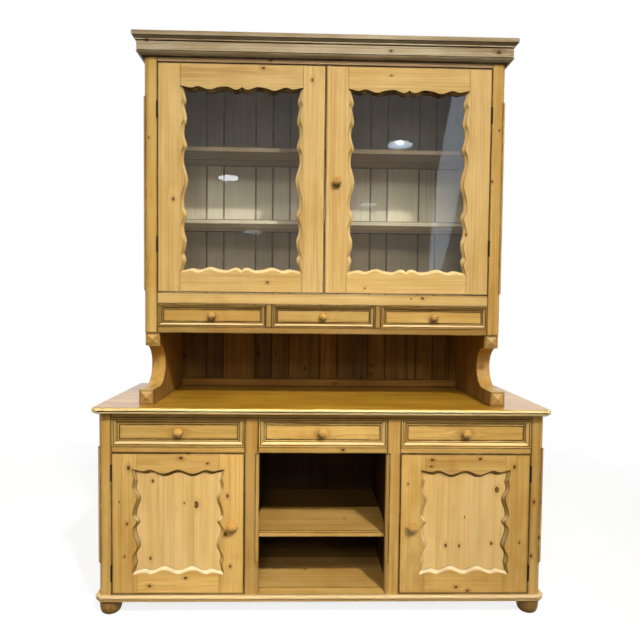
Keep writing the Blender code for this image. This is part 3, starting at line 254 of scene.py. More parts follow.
# What timber does: how far the grain bends round a knot, in knots, and its rings to a metre
GRAIN_BEND = 2.4
RINGS = 190.0
COAT_ROUGHNESS = 0.24
# Warm, grey and worn wood; the worn colour is also the painted highlight on edges that face up
WARM_WOOD, GREY_WOOD, WORN_AND_LIT_WOOD = (186, 118, 42), (128, 118, 98), (252, 226, 176)
IRON, RUST, DUST = (38, 33, 30), (78, 52, 36), (200, 205, 210)
# Light, middle and late wood on screen, 0 to 255, with knots and dirt where they differ; dirt also paints
# shade
KNOT, DIRT = (74, 40, 16), (48, 27, 8)
TIMBERS = {
    "pine": (((218, 180, 104), (199, 156, 76), (154, 106, 42)), {}),
    "door": (((232, 198, 130), (216, 178, 106), (178, 132, 66)), {"line": 0.6}),
    "cupboard_door": (
        ((230, 190, 112), (210, 165, 84), (166, 114, 46)), {"line": 0.25, "wash": 0.45, "grain": 0.36},
    ),
    "panel": (
        ((240, 206, 138), (230, 190, 116), (202, 156, 82), KNOT, (80, 52, 22)),
        {"edge_dirt": 0.15, "line": 0.1, "spots": 0.15, "grain": 0.38},
    ),
    "drawer": (((230, 192, 112), (212, 168, 86), (164, 112, 46)), {"line": 0.8}),
    "waxed": (
        ((218, 167, 54), (184, 132, 24), (130, 87, 12), (72, 40, 14), (76, 44, 12)),
        {"edge_dirt": 0.05, "line": 0.0, "shine": (0.24, 0.36), "coat": 0.6, "shiny": 0.4, "relief": 0.1},
    ),
    "nosing": (
        ((255, 230, 164), (250, 218, 146), (222, 180, 106)),
        {"grain": 0.2, "edge_dirt": 0.0, "line": 0.0, "wash": 0.1, "shine": (0.3, 0.42)},
    ),
    "bracket": (
        ((210, 169, 94), (190, 147, 70), (142, 100, 40)),
        {"shine": (0.3, 0.42), "coat": 0.15, "grain": 0.6, "line": 0.9},
    ),
    # Darker copy of the bracket's wood for its inner side: painted shade under the cabinet
    "bracket_side": (((168, 130, 66), (140, 103, 46), (96, 68, 28)), {"grain": 0.6, "line": 0.4}),
    "weathered": (
        ((202, 188, 156), (172, 152, 116), (124, 100, 66), (58, 36, 18), (40, 27, 14)),
        {"shine": (0.45, 0.62), "grain": 0.8, "spots": 0.9, "line": 0.0, "edge_dirt": 0.1},
    ),
    "frieze": (((200, 170, 126), (176, 146, 102), (132, 102, 64), (54, 34, 18), (40, 26, 12)), {}),
    # Bare old wood of the upper niche, darkened partly as painted shade
    "niche": (
        ((122, 90, 38), (92, 64, 24), (58, 37, 12), (26, 15, 6), (16, 9, 3)),
        {"shine": (0.55, 0.75), "grain": 0.7, "edge_dirt": 0.5},
    ),
    # Wood as dark as deep shadow: painted shade inside the base's niche
    "shade": (
        ((50, 31, 14), (36, 22, 9), (24, 14, 6), (14, 9, 4), (9, 5, 3)), {"shine": (0.6, 0.78), "grain": 0.7},
    ),
    "raw": (
        ((206, 170, 112), (186, 148, 90), (150, 108, 58), KNOT, (90, 60, 32)), {"shine": (0.6, 0.78)},
    ),
    "knob": (
        ((226, 180, 92), (206, 154, 68), (158, 106, 38), KNOT, (52, 28, 10)),
        {"shine": (0.2, 0.3), "coat": 0.5, "spots": 0.0, "line": 0.0, "edge_dirt": 0.0},
    ),
}
# Base, pale and dark paint, and the wood where it is worn
PAINTS = {
    "paint": ((188, 174, 144), (206, 193, 166), (84, 68, 46), (150, 112, 64)),
    "cream_paint": ((232, 221, 194), (244, 235, 212), (96, 80, 56), (150, 112, 64)),
    "brown_paint": ((136, 116, 88), (152, 132, 104), (76, 58, 36), (140, 100, 56)),
}


def srgb(red, green, blue):
    """A colour given as it looks on screen, 0 to 255, as linear light."""
    shares = [value / 255 for value in (red, green, blue)]
    return (*(s / 12.92 if s <= 0.04045 else ((s + 0.055) / 1.055) ** 2.4 for s in shares), 1.0)


def reckoning(operation, swapped=False):
    """One of a value's operators, which adds a math node."""
    def operate(value, other):
        return value.graph.math(operation, *((other, value) if swapped else (value, other)))
    return operate


class Value:
    """The output of a node, to reckon with as with a number."""

    def __init__(self, graph, socket):
        self.graph = graph
        self.socket = socket

    __add__ = __radd__ = reckoning("ADD")
    __mul__ = __rmul__ = reckoning("MULTIPLY")
    __sub__ = reckoning("SUBTRACT")
    __rsub__ = reckoning("SUBTRACT", True)
    __truediv__ = reckoning("DIVIDE")


class Graph:
    """Short calls that add nodes to one tree."""

    def __init__(self, tree):
        self.tree = tree
        tree.nodes.clear()

    def node(self, kind, inputs=(), **settings):
        node = self.tree.nodes.new(kind)
        for word, value in settings.items():
            setattr(node, word, value)
        for key, value in inputs.items() if isinstance(inputs, dict) else enumerate(inputs):
            if isinstance(value, Value):
                self.tree.links.new(value.socket, node.inputs[key])
            else:
                node.inputs[key].default_value = value
        return [Value(self, socket) for socket in node.outputs]

    def add(self, kind, inputs=(), output=0, **settings):
        return self.node(kind, inputs, **settings)[output]

    def math(self, operation, *values, clamp=False):
        return self.add("ShaderNodeMath", values, operation=operation, use_clamp=clamp)

    def vector(self, operation, *values):
        return self.add("ShaderNodeVectorMath", values, operation == "LENGTH", operation=operation)

    def data(self, name):
        return self.add("ShaderNodeAttribute", output=1, attribute_name=name)

    def object_place(self):
        return self.add("ShaderNodeTexCoord", output=3)

    def split(self, value):
        return self.node("ShaderNodeSeparateXYZ", (value,))

    def join(self, x, y, z):
        return self.add("ShaderNodeCombineXYZ", (x, y, z))

    def noise(self, place, stretch, detail=2.0, roughness=0.5):
        inputs = {"Scale": 1.0, "Detail": detail, "Roughness": roughness}
        return self.add("ShaderNodeTexNoise", {"Vector": self.vector("MULTIPLY", place, stretch), **inputs})

    def step(self, value, low, high, start=0.0, end=1.0):
        """A soft step: start below low, end above high."""
        inputs = (value, low, high, start, end)
        return self.add("ShaderNodeMapRange", inputs, interpolation_type="SMOOTHSTEP")

    def mix(self, share, one, other):
        return self.add("ShaderNodeMix", {0: share, 6: one, 7: other}, 2, data_type="RGBA")

    def bump(self, strength, distance, height):
        return self.add("ShaderNodeBump", {"Strength": strength, "Distance": distance, "Height": height})

    def principled(self, colour, rough, bump, **constants):
        named = {word.replace("_", " "): value for word, value in constants.items()}
        inputs = {"Base Color": colour, "Roughness": rough, "Normal": bump, **named}
        self.surface(self.add("ShaderNodeBsdfPrincipled", inputs))

    def surface(self, shader, kind="Material"):
        self.node("ShaderNodeOutput" + kind, {"Surface": shader})

    def seen(self):
        """1 for what the camera sees, straight or by way of glass, and 0 for light on the object."""
        rays = self.node("ShaderNodeLightPath")
        names = ("Is Camera Ray", "Is Glossy Ray", "Is Transmission Ray")
        camera, glossy, through = (ray for ray in rays if ray.socket.name in names)
        return self.math("MAXIMUM", camera, self.math("MAXIMUM", glossy, through))


def new_graph(name):
    material = bpy.data.materials.new(name)
    material.use_nodes = True
    return material, Graph(material.node_tree)


def board_data(g):
    """What each point knows of its board, and its place in the board's own stretch of grain."""
    place, half, tone, extra = (g.data(word) for word in BOARD_DATA[:4])
    shift, grime_and_shade, wear_and_highlight = g.split(extra)
    moved = g.vector("ADD", place, g.join(shift * 7.1, shift * 3.7, shift * 5.3))
    return place, half, moved, (shift, grime_and_shade, wear_and_highlight), g.split(tone)


def board_edge(g, place, half):
    """The distance from a point of a board's surface to the board's nearest edge."""
    x, y, z = g.split(g.vector("SUBTRACT", half, g.vector("ABSOLUTE", place)))
    low, high = g.math("MINIMUM", x, y), g.math("MAXIMUM", x, y)
    return g.math("MAXIMUM", low, g.math("MINIMUM", high, z))


def brightened(g, colour, bright):
    level = bright + 1.0
    return g.vector("MULTIPLY", colour, g.join(level, level, level))


def bend_round_knots(g, place):
    """The across coordinate with the grain led round three knots, and the nearest knot's distance."""
    along, across, _ = g.split(place)
    nearest = None
    for word in "abc":
        knot_along, knot_across, size = g.split(g.data("knot_" + word))
        ahead = (along - knot_along) * 0.5
        beside = across - knot_across
        spread = size * GRAIN_BEND
        square = spread * spread
        far = ahead * ahead + beside * beside
        pull = g.math("SUBTRACT", 1.0, square / (square * 0.35 + far + 1e-9), clamp=True)
        across = beside * pull + knot_across
        ratio = g.math("SQRT", far + ahead * ahead * 0.9) / (size + 1e-6)
        nearest = g.math("MINIMUM", nearest, ratio) if nearest else ratio
    return across, nearest


def timber(name, light, mid, late, knot, dirt, grain=0.5, edge_dirt=0.3, line=0.85, shine=(0.42, 0.56),
           spots=0.5, wash=0.3, coat=0.0, shiny=0.12, relief=0.35):
    """Flat-sawn pine: rings, fibres, knots, and dirt that gathers along the board's edges."""
    material, g = new_graph(name)
    place, half, moved, (shift, grime_and_shade, wear_and_highlight), (bright, warm, grey) = board_data(g)
    across, nearest = bend_round_knots(g, place)
    wander = g.noise(moved, (1.1, 4.0, 4.0))
    pith = (g.math("FRACT", shift * 5.17) - 0.5) * 0.09
    deep = g.math("FRACT", shift * 3.31) * 0.07 + 0.018
    side = across + pith + (wander - 0.5) * 0.05
    down = g.split(place)[2] + deep
    radius = g.math("SQRT", side * side + down * down)
    year = g.noise(g.join(radius, shift, 0.0), (160.0, 9.0, 0.0), 1.0)
    phase = g.math("FRACT", radius * RINGS + year * 2.4)
    ring = g.step(phase, 0.25, 0.86) * g.step(phase, 0.9, 1.0, 1.0, 0.0)
    fibre = g.noise(moved, (11.0, 620.0, 620.0), 3.0, 0.6)
    streak = g.noise(moved, (1.5, 46.0, 46.0), 3.0, 0.55)
    scrub = g.noise(moved, (2.6, 130.0, 130.0), 2.0, 0.6)
    blotch = g.noise(moved, (3.2, 11.0, 11.0), 4.0, 0.6)
    stain = g.noise(g.object_place(), (4.1, 4.1, 3.3), 5.0, 0.62)
    patchy = g.noise(g.object_place(), (26.0, 26.0, 26.0))

    colour = g.mix(g.step(blotch, 0.32, 0.68), light, mid)
    strength = ring * (g.step(streak, 0.35, 0.7) * (0.55 * grain) + 0.3 * grain)
    colour = g.mix(strength, colour, late)
    for value, low, high, share, other in (
        (streak, 0.52, 0.74, 0.36, late), (streak, 0.48, 0.26, 0.45, light), (stain, 0.52, 0.72, wash, late),
        (fibre, 0.58, 0.74, 0.26, late), (scrub, 0.54, 0.72, 0.4, light), (scrub, 0.44, 0.28, 0.3, late),
        (nearest, 3.6, 1.1, 0.4, late),
    ):
        colour = g.mix(g.step(value, low, high, 0.0, share), colour, other)
    heart = g.step(nearest, 1.12, 0.86)
    rim = g.step(g.math("ABSOLUTE", nearest - 0.85), 0.4, 0.1)
    colour = g.mix(heart, colour, g.mix(rim, g.mix(0.7, late, knot), knot))

    along, beside, _ = g.split(moved)
    cells = {"Vector": g.join(along * 8.0, beside * 16.0, shift), "Scale": 1.0}
    distance, cell_colour = g.node("ShaderNodeTexVoronoi", cells)[:2]
    chosen = g.step(g.split(cell_colour)[0], 1.0 - 0.42 * spots, 1.001 - 0.42 * spots)
    pin = g.step(distance, 0.06, 0.028) * chosen
    colour = g.mix(pin * 0.75, colour, knot)
    colour = g.mix(warm, colour, srgb(*WARM_WOOD))
    colour = g.mix(grey, colour, srgb(*GREY_WOOD))
    # Wear and painted highlight turn the wood towards the worn colour
    colour = g.mix(wear_and_highlight, brightened(g, colour, bright), srgb(*WORN_AND_LIT_WOOD))

    reach = board_edge(g, place, half)
    gathered = g.step(reach, 0.0075, 0.001, 0.0, edge_dirt) * (patchy * 0.9 + 0.25)
    seam = g.step(reach, 0.0021, 0.0012, 0.0, line) * g.step(patchy, 0.25, 0.5, 0.55, 1.0)
    # The grime channel holds dirt and painted shade, both mixed towards the dirt colour below
    soiled_and_shaded = grime_and_shade * (patchy * 0.5 + 0.68)
    dark = g.math("MAXIMUM", g.math("MAXIMUM", gathered, seam), soiled_and_shaded, clamp=True)
    rough = streak * (shine[1] - shine[0]) + shine[0] + soiled_and_shaded * 0.25
    bump = g.bump(relief, 0.0007, ring * 0.3 + fibre * 0.45 + heart * -0.5)
    colour = g.mix(dark, colour, dirt)
    g.principled(
        colour, rough, bump, Specular_IOR_Level=shiny, Coat_Weight=coat, Coat_Roughness=COAT_ROUGHNESS,
    )
    return material


def old_paint(name, base, pale, dark, wood):
    """Thin old paint: brush marks along each board, dirt at the joints, and wood at worn edges."""
    material, g = new_graph(name)
    place, half, moved, (_, grime_and_shade, _), (bright, _, _) = board_data(g)
    brush = g.noise(moved, (5.0, 240.0, 240.0), 3.0, 0.6)
    cloud = g.noise(g.object_place(), (5.0, 5.0, 3.0), 4.0, 0.6)
    patchy = g.noise(g.object_place(), (34.0, 34.0, 34.0), 3.0)
    colour = g.mix(g.step(cloud, 0.3, 0.75), base, pale)
    colour = g.mix(g.step(brush, 0.45, 0.75, 0.0, 0.25), colour, dark)
    reach = board_edge(g, place, half)
    seam = g.step(reach, 0.005, 0.002, 0.0, 0.9) * (patchy * 0.8 + 0.5)
    colour = g.mix(g.math("MAXIMUM", seam, grime_and_shade, clamp=True), colour, dark)
    chip = g.step(reach, 0.006, 0.001) * g.step(patchy, 0.6, 0.68)
    colour = brightened(g, g.mix(chip, colour, wood), bright)
    bump = g.bump(0.35, 0.0006, brush * 0.5 - chip * 0.4)
    g.principled(colour, brush * 0.15 + 0.55, bump, Specular_IOR_Level=0.2)
    return material


def old_iron(name):
    """Dark iron with brown rust in patches and worn high spots."""
    material, g = new_graph(name)
    rust = g.noise(g.object_place(), (170.0, 170.0, 90.0), 4.0, 0.65)
    grit = g.noise(g.object_place(), (900.0, 900.0, 900.0))
    colour = g.mix(g.step(rust, 0.46, 0.66), srgb(*IRON), srgb(*RUST))
    g.principled(colour, g.step(rust, 0.35, 0.7, 0.42, 0.78), g.bump(0.5, 0.0004, grit), Metallic=0.75)
    return material


def window_glass(name):
    """Clear glass: a mirror by Fresnel over clear, a little uneven, with faint dust."""
    material, g = new_graph(name)
    wave = g.noise(g.object_place(), (9.0, 9.0, 5.0), 1.0)
    dust = g.noise(g.object_place(), (7.0, 7.0, 4.0), 5.0, 0.7)
    bump = g.bump(0.02, 0.002, wave)
    clear = g.add("ShaderNodeBsdfTransparent", {"Color": (0.96, 0.97, 0.965, 1.0)})
    mirror = {"Color": (0.62, 0.64, 0.68, 1), "Roughness": 0.02, "Normal": bump}
    film = g.add("ShaderNodeBsdfDiffuse", {"Color": srgb(*DUST)})
    far_side = next(out for out in g.node("ShaderNodeNewGeometry") if out.socket.name == "Backfacing")
    share = g.add("ShaderNodeFresnel", {"IOR": 1.5, "Normal": bump}) * (1.0 - far_side)
    both = g.add("ShaderNodeMixShader", (share, clear, g.add("ShaderNodeBsdfGlossy", mirror)))
    g.surface(g.add("ShaderNodeMixShader", (g.step(dust, 0.4, 0.8, 0.004, 0.02), both, film)))
    return material


def white_floor(name):
    """A plain white floor that keeps the shadow and is white to the camera elsewhere."""
    material, g = new_graph(name)
    away = g.vector("LENGTH", g.object_place())
    strength = g.step(away, *FLOOR_FADE, FLOOR_GLOW, 1.0)
    grey = g.step(away, *FLOOR_FADE, FLOOR_MATT, 0.0)
    glow = g.add("ShaderNodeEmission", {"Color": (1, 1, 1, 1), "Strength": g.seen() * strength})
    matt = g.add("ShaderNodeBsdfDiffuse", {"Color": g.join(grey, grey, grey)})
    g.surface(g.add("ShaderNodeAddShader", (glow, matt)))
    return material


def make_materials():
    for name, (colours, settings) in TIMBERS.items():
        shown = (*colours, KNOT, DIRT)[:5]
        MATERIALS[name] = timber(name, *(srgb(*colour) for colour in shown), **settings)
    for name, colours in PAINTS.items():
        MATERIALS[name] = old_paint(name, *(srgb(*colour) for colour in colours))
    MATERIALS["iron"] = old_iron("old_iron")
    MATERIALS["glass"] = window_glass("window_glass")


def axis_matrix(along, across, thin, centre):
    """A board's own directions as a matrix: its grain, its width, its thickness."""
    matrix = Matrix((along, across, thin)).transposed().to_4x4()
    matrix.translation = centre
    return matrix


def box_matrix(low, high, along, across=None):
    """The matrix and half sizes of a board between two corners, its grain along X, Y or Z.

    across is the direction of the face that is seen, or else the wider one.
    """
    half = {word: (b - a) / 2 for word, a, b in zip("XYZ", low, high)}
    rest = sorted(set("XYZ") - {along}, key=lambda word: (word != across, -half[word], word))
    words = (along, *rest)
    matrix = axis_matrix(*(AXES[word] for word in words), centre_of(low, high))
    return matrix, Vector([half[word] for word in words])


class Piece:
    """One object made of boards. Each board keeps its own place in the grain as point data."""

    def __init__(self, node, name=None, body="carcass"):
        self.node = node
        self.name = name or node + "_wood"
        self.body = body
        self.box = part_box(node)
        self.shape = bmesh.new()
        self.layers = [self.shape.verts.layers.float_vector.new(word) for word in BOARD_DATA]
        self.finishes = []
        self.chance = random.Random(self.name)

    def look(self, half, tone, knots, inverse):
        """A little chance in a board's tone, and in its knots unless they are given."""
        draw = self.chance
        drawn = [draw.uniform(*limits) for limits in TONE_CHANCE]
        places = []
        if knots is None:
            likely = min(MOST_KNOTS, KNOT_DENSITY * 4 * half.x * half.y)
            for _ in range(2):
                if draw.random() < likely:
                    size = draw.uniform(*KNOT_SIZES)
                    along, across = draw.uniform(-1, 1) * half.x * 0.9, draw.uniform(-1, 1) * half.y * 0.8
                    places.append((along, across, size))
        for x, z, size in knots or ():
            local = inverse @ Vector((x, 0, z))
            places.append((local.x, local.y, size))
        return Vector(tone or (0, 0, 0)) + Vector(drawn), (places + NO_KNOTS)[:3]

    def absorb(self, part, faces, matrix, half, finish, tone=None, knots=None, turned=None):
        """Take faces of another shape as one board. turned is (direction, finish) for one side."""
        half, inverse = Vector(half), matrix.inverted()
        tone, places = self.look(half, tone, knots, inverse)
        shift = self.chance.uniform(0.0, 10.0)
        grime_and_shade, wear_and_highlight = (part.verts.layers.float.get(word) for word in ("grime_and_shade", "wear_and_highlight"))
        made = {}
        for face in faces:
            for vert in face.verts:
                if vert in made:
                    continue
                new = made[vert] = self.shape.verts.new(vert.co)
                extra = (shift, vert[grime_and_shade] if grime_and_shade else 0.0, vert[wear_and_highlight] if wear_and_highlight else 0.0)
                for layer, value in zip(self.layers, (inverse @ vert.co, half, tone, extra, *places)):
                    new[layer] = value
            copy = self.shape.faces.new([made[vert] for vert in face.verts])
            away = turned and face.normal.dot(Vector(turned[0])) > 0.5
            own = turned[1] if away else finish
            if own not in self.finishes:
                self.finishes.append(own)
            copy.material_index = self.finishes.index(own)

    def add(self, part, matrix, half, finish, **look):
        """Take a whole shape as one board."""
        bmesh.ops.recalc_face_normals(part, faces=part.faces)
        part.normal_update()
        self.absorb(part, part.faces, matrix, half, finish, **look)
        part.free()

    def board(self, low, high, along, finish, edge=EDGE, across=None, **look):
        """A sawn board between two corners, its edges rounded."""
        self.turned_board(*box_matrix(low, high, along, across), finish, edge, **look)

    def turned_board(self, matrix, half, finish, edge=EDGE, **look):
        part = bmesh.new()
        bmesh.ops.create_cube(part, size=2.0, matrix=matrix @ Matrix.Diagonal((*half, 1.0)))
        round_edges(part, part.edges[:], min(edge, min(half) * MOST_ROUNDING))
        self.add(part, matrix, half, finish, **look)

    def prism(self, outline, plane, start, end, matrix, half, finish, edge=EDGE, **look):
        """An outline made thick and its edges rounded."""
        part = solid_outline(outline, plane, start, end)
        round_edges(part, part.edges[:], edge)
        self.add(part, matrix, half, finish, **look)

    def done(self):
        """Make the object."""
        mesh = bpy.data.meshes.new(self.name)
        self.shape.to_mesh(mesh)
        self.shape.free()
        for finish in self.finishes:
            mesh.materials.append(MATERIALS[finish])
        mesh.shade_smooth()
        mesh.set_sharp_from_angle(angle=math.radians(SMOOTH_ANGLE))
        obj = bpy.data.objects.new(self.name, mesh)
        bpy.context.scene.collection.objects.link(obj)
        obj.modifiers.new("flat faces stay flat", "WEIGHTED_NORMAL").keep_sharp = True
        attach(obj, self.body)
        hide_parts(self.node)


def new_shape():
    part = bmesh.new()
    for word in ("grime_and_shade", "wear_and_highlight"):
        part.verts.layers.float.new(word)
    return part


def point(part, place, soil_and_shade=0.0, pale=0.0):
    """A vertex with its share of dirt and painted shade, and of wear and painted highlight."""
    vert = part.verts.new(place)
    layers = part.verts.layers.float
    vert[layers["grime_and_shade"]], vert[layers["wear_and_highlight"]] = soil_and_shade, pale
    return vert


def round_edges(part, edges, width, segments=2):
    bmesh.ops.bevel(
        part, geom=edges, offset=width, segments=segments, profile=0.5, affect="EDGES", clamp_overlap=True,
    )


def cut(part, axis, place):
    """Cut faces along a plane square to an axis, so that boards can part there."""
    everything = part.verts[:] + part.edges[:] + part.faces[:]
    bmesh.ops.bisect_plane(part, geom=everything, plane_co=AXES[axis] * place, plane_no=AXES[axis])


def arc(start, end, count):
    """Cosine and sine of each angle from start to end, in degrees."""
    turns = [math.radians(start + (end - start) * i / count) for i in range(count + 1)]
    return [(math.cos(turn), math.sin(turn)) for turn in turns]


def solid_outline(outline, plane, start, end):
    """An outline in the XY or YZ plane, made thick from start to end."""
    part = bmesh.new()
    lift = {"XY": lambda u, v, w: (u, v, w), "YZ": lambda u, v, w: (w, u, v)}[plane]
    low, high = ([part.verts.new(lift(u, v, w)) for u, v in outline] for w in (start, end))
    part.faces.new(low)
    part.faces.new(high[::-1])
    wall(part, low, high)
    bmesh.ops.recalc_face_normals(part, faces=part.faces)
    return part


def wall(part, one, other):
    for i in range(len(one)):
        j = (i + 1) % len(one)
        part.faces.new((one[i], one[j], other[j], other[i]))


def mirrored(points, side):
    return [(side * u, v) for u, v in points]


def side_name(side):
    return "right" if side > 0 else "left"


def ordered(a, b):
    return (min(a, b), max(a, b))


def centre_of(low, high):
    return [(a + b) / 2 for a, b in zip(low, high)]


def rectangle(x, z, inset=0.0):
    left, right, low, high = x[0] + inset, x[1] - inset, z[0] + inset, z[1] - inset
    return [(left, low), (right, low), (right, high), (left, high)]


def canted_path(half_width, front, back, cant):
    right = [(half_width - cant, front), (half_width, front + cant), (half_width, back)]
    return mirrored(right[::-1], -1) + right


def planks(piece, low, high, along, across, count, finish, edge=0.0008, tone=None, shade_step=0.0, **look):
    """Several boards side by side that fill a box, each darker than the last by a given step of painted
    shade.
    """
    index = "XYZ".index(across)
    shares = [1 + piece.chance.uniform(-0.12, 0.12) for _ in range(count)]
    start = low[index]
    for i, share in enumerate(shares):
        end = start + (high[index] - low[index]) * share / sum(shares)
        a, b = list(low), list(high)
        a[index], b[index] = start, end
        own_tone = tone and (tone[0] - shade_step * i, *tone[1:])
        piece.board(a, b, along, finish, edge, tone=own_tone, **look)
        start = end


def upright_boards(piece, kind, face, z, finish, uneven=0.04):
    """Back boards side by side, their bevelled edges making a V at each joint."""
    pattern, back = BOARD_PATTERN[kind], piece.box[1]
    wide = (2 * back.x - pattern.count("N") * NARROW_BOARD) / pattern.count("W")
    x = -back.x
    for letter in pattern:
        end = x + (wide if letter == "W" else NARROW_BOARD)
        tone = (piece.chance.uniform(-uneven, uneven), 0.0, 0.0)
        outside = (AXES["Y"], "raw")
        piece.board((x, face, z[0]), (end, back.y, z[1]), "Z", finish, 0.0017, tone=tone, turned=outside)
        x = end


def scallop_share(keys, place):
    """The height of a scalloped edge, as a share of its tallest hump, at a place from 0 to 1."""
    place = min(place, 1 - place)
    for (start, low, *sharp_start), (end, high, *sharp_end) in zip(keys, keys[1:]):
        if place <= end:
            t = (place - start) / (end - start)
            if sharp_start:
                ease = math.sin(t * math.pi / 2)
            elif sharp_end:
                ease = 1 - math.cos(t * math.pi / 2)
            else:
                ease = (1 - math.cos(t * math.pi)) / 2
            return low + (high - low) * ease
    return keys[-1][1]


def scalloped_loop(x, z, height, scallops, inset):
    """A scalloped opening's outline, seen from the front, set in by a distance all round."""
    left, right, low, high = x[0] + inset, x[1] - inset, z[0] + inset, z[1] - inset
    shares = [i / SCALLOP_SAMPLES for i in range(SCALLOP_SAMPLES)]
    rail, stile = ([(s, height * scallop_share(keys, s)) for s in shares] for keys in scallops)
    points = [(left + (right - left) * s, low + d) for s, d in rail]
    points += [(right - d, low + (high - low) * s) for s, d in stile]
    points += [(right - (right - left) * s, high - d) for s, d in rail]
    points += [(left + d, high - (high - low) * s) for s, d in stile]
    return points


def scalloped_frame(piece, kind, side, x, y, z):
    """A door frame of two stiles and two rails with one scalloped, moulded opening."""
    stiles, rails, scallops, height, joint, finish, (under, middle_darkening, highlight_up) = DOORS[kind]
    outer, inner = (abs(edge) for edge in (x if side < 0 else x[::-1]))
    opening_x = ordered(side * (inner + stiles[1]), side * (outer - stiles[0]))
    opening_z = (z[0] + rails[0], z[1] - rails[1])
    part = new_shape()
    grime_and_shade, wear_and_highlight = (part.verts.layers.float[word] for word in ("grime_and_shade", "wear_and_highlight"))

    def ring(points, depth, soil_and_shade=0.0):
        return [point(part, (px, y[0] + depth, pz), soil_and_shade) for px, pz in points]

    def shade(verts):
        """Painted shade under the edges that face down, darker edges that face the middle, a painted
        highlight on those that face up.
        """
        for before, vert, after in zip(verts[-1:] + verts[:-1], verts, verts[1:] + verts[:1]):
            run = (after.co - before.co).normalized()
            dirt = under * max(0.0, -run.x) + middle_darkening * max(0.0, run.z * side)
            vert[grime_and_shade] = min(1.0, vert[grime_and_shade] + dirt)
            vert[wear_and_highlight] = highlight_up * max(0.0, run.x)

    def flat(one, other):
        edges = []
        for verts in (one, other):
            for a, b in zip(verts, verts[1:] + verts[:1]):
                edges.append(part.edges.get((a, b)) or part.edges.new((a, b)))
        bmesh.ops.triangle_fill(part, edges=edges, use_beauty=True)

    thick = y[1] - y[0]
    rebate = rectangle(opening_x, opening_z, -REBATE_REACH)
    # The door's side and rounded outer edge are dark: painted shade in the gap round the door
    edge, rounded = ring(rectangle(x, z), EDGE, 1.0), ring(rectangle(x, z, EDGE), 0.0, 1.0)
    front = ring(rectangle(x, z, EDGE * 2.6), 0.0)
    mouldings = []
    for inset, depth, soil_and_shade in SCALLOP_PROFILE:
        loop = scalloped_loop(opening_x, opening_z, height, scallops, inset)
        mouldings.append(ring(loop, depth, soil_and_shade))
    for moulding in mouldings[1:]:
        shade(moulding)
    land = ring(loop, SCALLOP_LAND, 0.9)
    rebate_front, rebate_back = ring(rebate, SCALLOP_LAND), ring(rebate, thick)
    back = ring(rectangle(x, z), thick)
    walls = (
        (edge, rounded), (rounded, front), *zip(mouldings, mouldings[1:] + [land]),
        (rebate_front, rebate_back), (back, edge),
    )
    for one, other in walls:
        wall(part, one, other)
    for one, other in ((front, mouldings[0]), (land, rebate_front), (rebate_back, back)):
        flat(one, other)
    bmesh.ops.recalc_face_normals(part, faces=part.faces)
    left, right = opening_x[0] + joint, opening_x[1] - joint
    cut(part, "X", left)
    cut(part, "X", right)
    part.normal_update()
    groups = {"left": [], "right": [], "low": [], "high": []}
    for face in part.faces:
        middle = face.calc_center_median()
        nearby = min(middle.z - opening_z[0], opening_z[1] - middle.z)
        if middle.x < left or middle.x > right or nearby > height + SCALLOP_LAND * 1.2:
            groups["left" if middle.x < (left + right) / 2 else "right"].append(face)
        else:
            groups["low" if middle.z < sum(opening_z) / 2 else "high"].append(face)
    low_rail, high_rail = (z[0], opening_z[0] + height), (opening_z[1] - height, z[1])
    limits = {
        "left": ((x[0], left), z, "Z", AXES["X"]), "right": ((right, x[1]), z, "Z", -AXES["X"]),
        "low": ((left, right), low_rail, "X", AXES["Z"]), "high": ((left, right), high_rail, "X", -AXES["Z"]),
    }
    for word, (span, rise, along, inward) in limits.items():
        matrix, half = box_matrix((span[0], y[0], rise[0]), (span[1], y[1], rise[1]), along)
        past_edge = SCALLOP_LAND * (4 if along == "X" else 2)
        half.y += past_edge
        matrix.translation += inward * past_edge
        knots = DOOR_KNOTS[kind, side].get(word)
        piece.absorb(part, groups[word], matrix, half, finish, tone=DOOR_TONES_AND_SHADE[word], knots=knots)
    part.free()


def run_of_moulding(piece, profile, path, finish, tone=None, knots=None, paler_above=math.inf):
    """A moulding of (projection, height, grime and painted shade) round a path, mitred, each run its own
    board.
    """
    directions = [(Vector(b) - Vector(a)).normalized() for a, b in zip(path, path[1:])]
    normals = [Vector((d.y, -d.x)) for d in directions]
    mitres = [(a + b) / (1 + a.dot(b)) for a, b in zip(normals[:1] + normals, normals + normals[-1:])]
    reaches, heights, _ = zip(*profile)
    deep, low, high = max(reaches), min(heights), max(heights)
    for i, (direction, normal) in enumerate(zip(directions, normals)):
        part = new_shape()
        here, there = (
            [
                point(part, (*(Vector(corner) + mitre * out), height), soil_and_shade, 0.6 * (height > paler_above))
                for out, height, soil_and_shade in profile
            ] for corner, mitre in zip(path[i:i + 2], mitres[i:i + 2])
        )
        wall(part, here, there)
        part.faces.new(here)
        part.faces.new(there[::-1])
        start, end = Vector(path[i]), Vector(path[i + 1])
        middle = (start + end) / 2 + normal * deep / 2
        centre = (*middle, (low + high) / 2)
        matrix = axis_matrix((*direction, 0.0), AXES["Z"], (*normal, 0.0), centre)
        half = ((end - start).length / 2 + deep, (high - low) / 2 + 0.01, deep / 2 + 0.01)
        piece.add(part, matrix, half, finish, tone=tone, knots=(knots or {}).get(i))


def applied_strip(piece, kind, centre, outward):
    """A flat strip with bevelled ends on a cant."""
    foot, length, width, thickness = STRIPS[kind]
    normal = Vector((*outward, 0.0)).normalized()
    middle = Vector((*centre, foot + length / 2)) + normal * thickness * (1 - STRIP_SUNK) / 2
    matrix = axis_matrix(AXES["Z"], normal.cross(AXES["Z"]), normal, middle)
    half = Vector((length / 2, width / 2, thickness * (1 + STRIP_SUNK) / 2))
    piece.turned_board(matrix, half, "pine", STRIP_BEVEL)


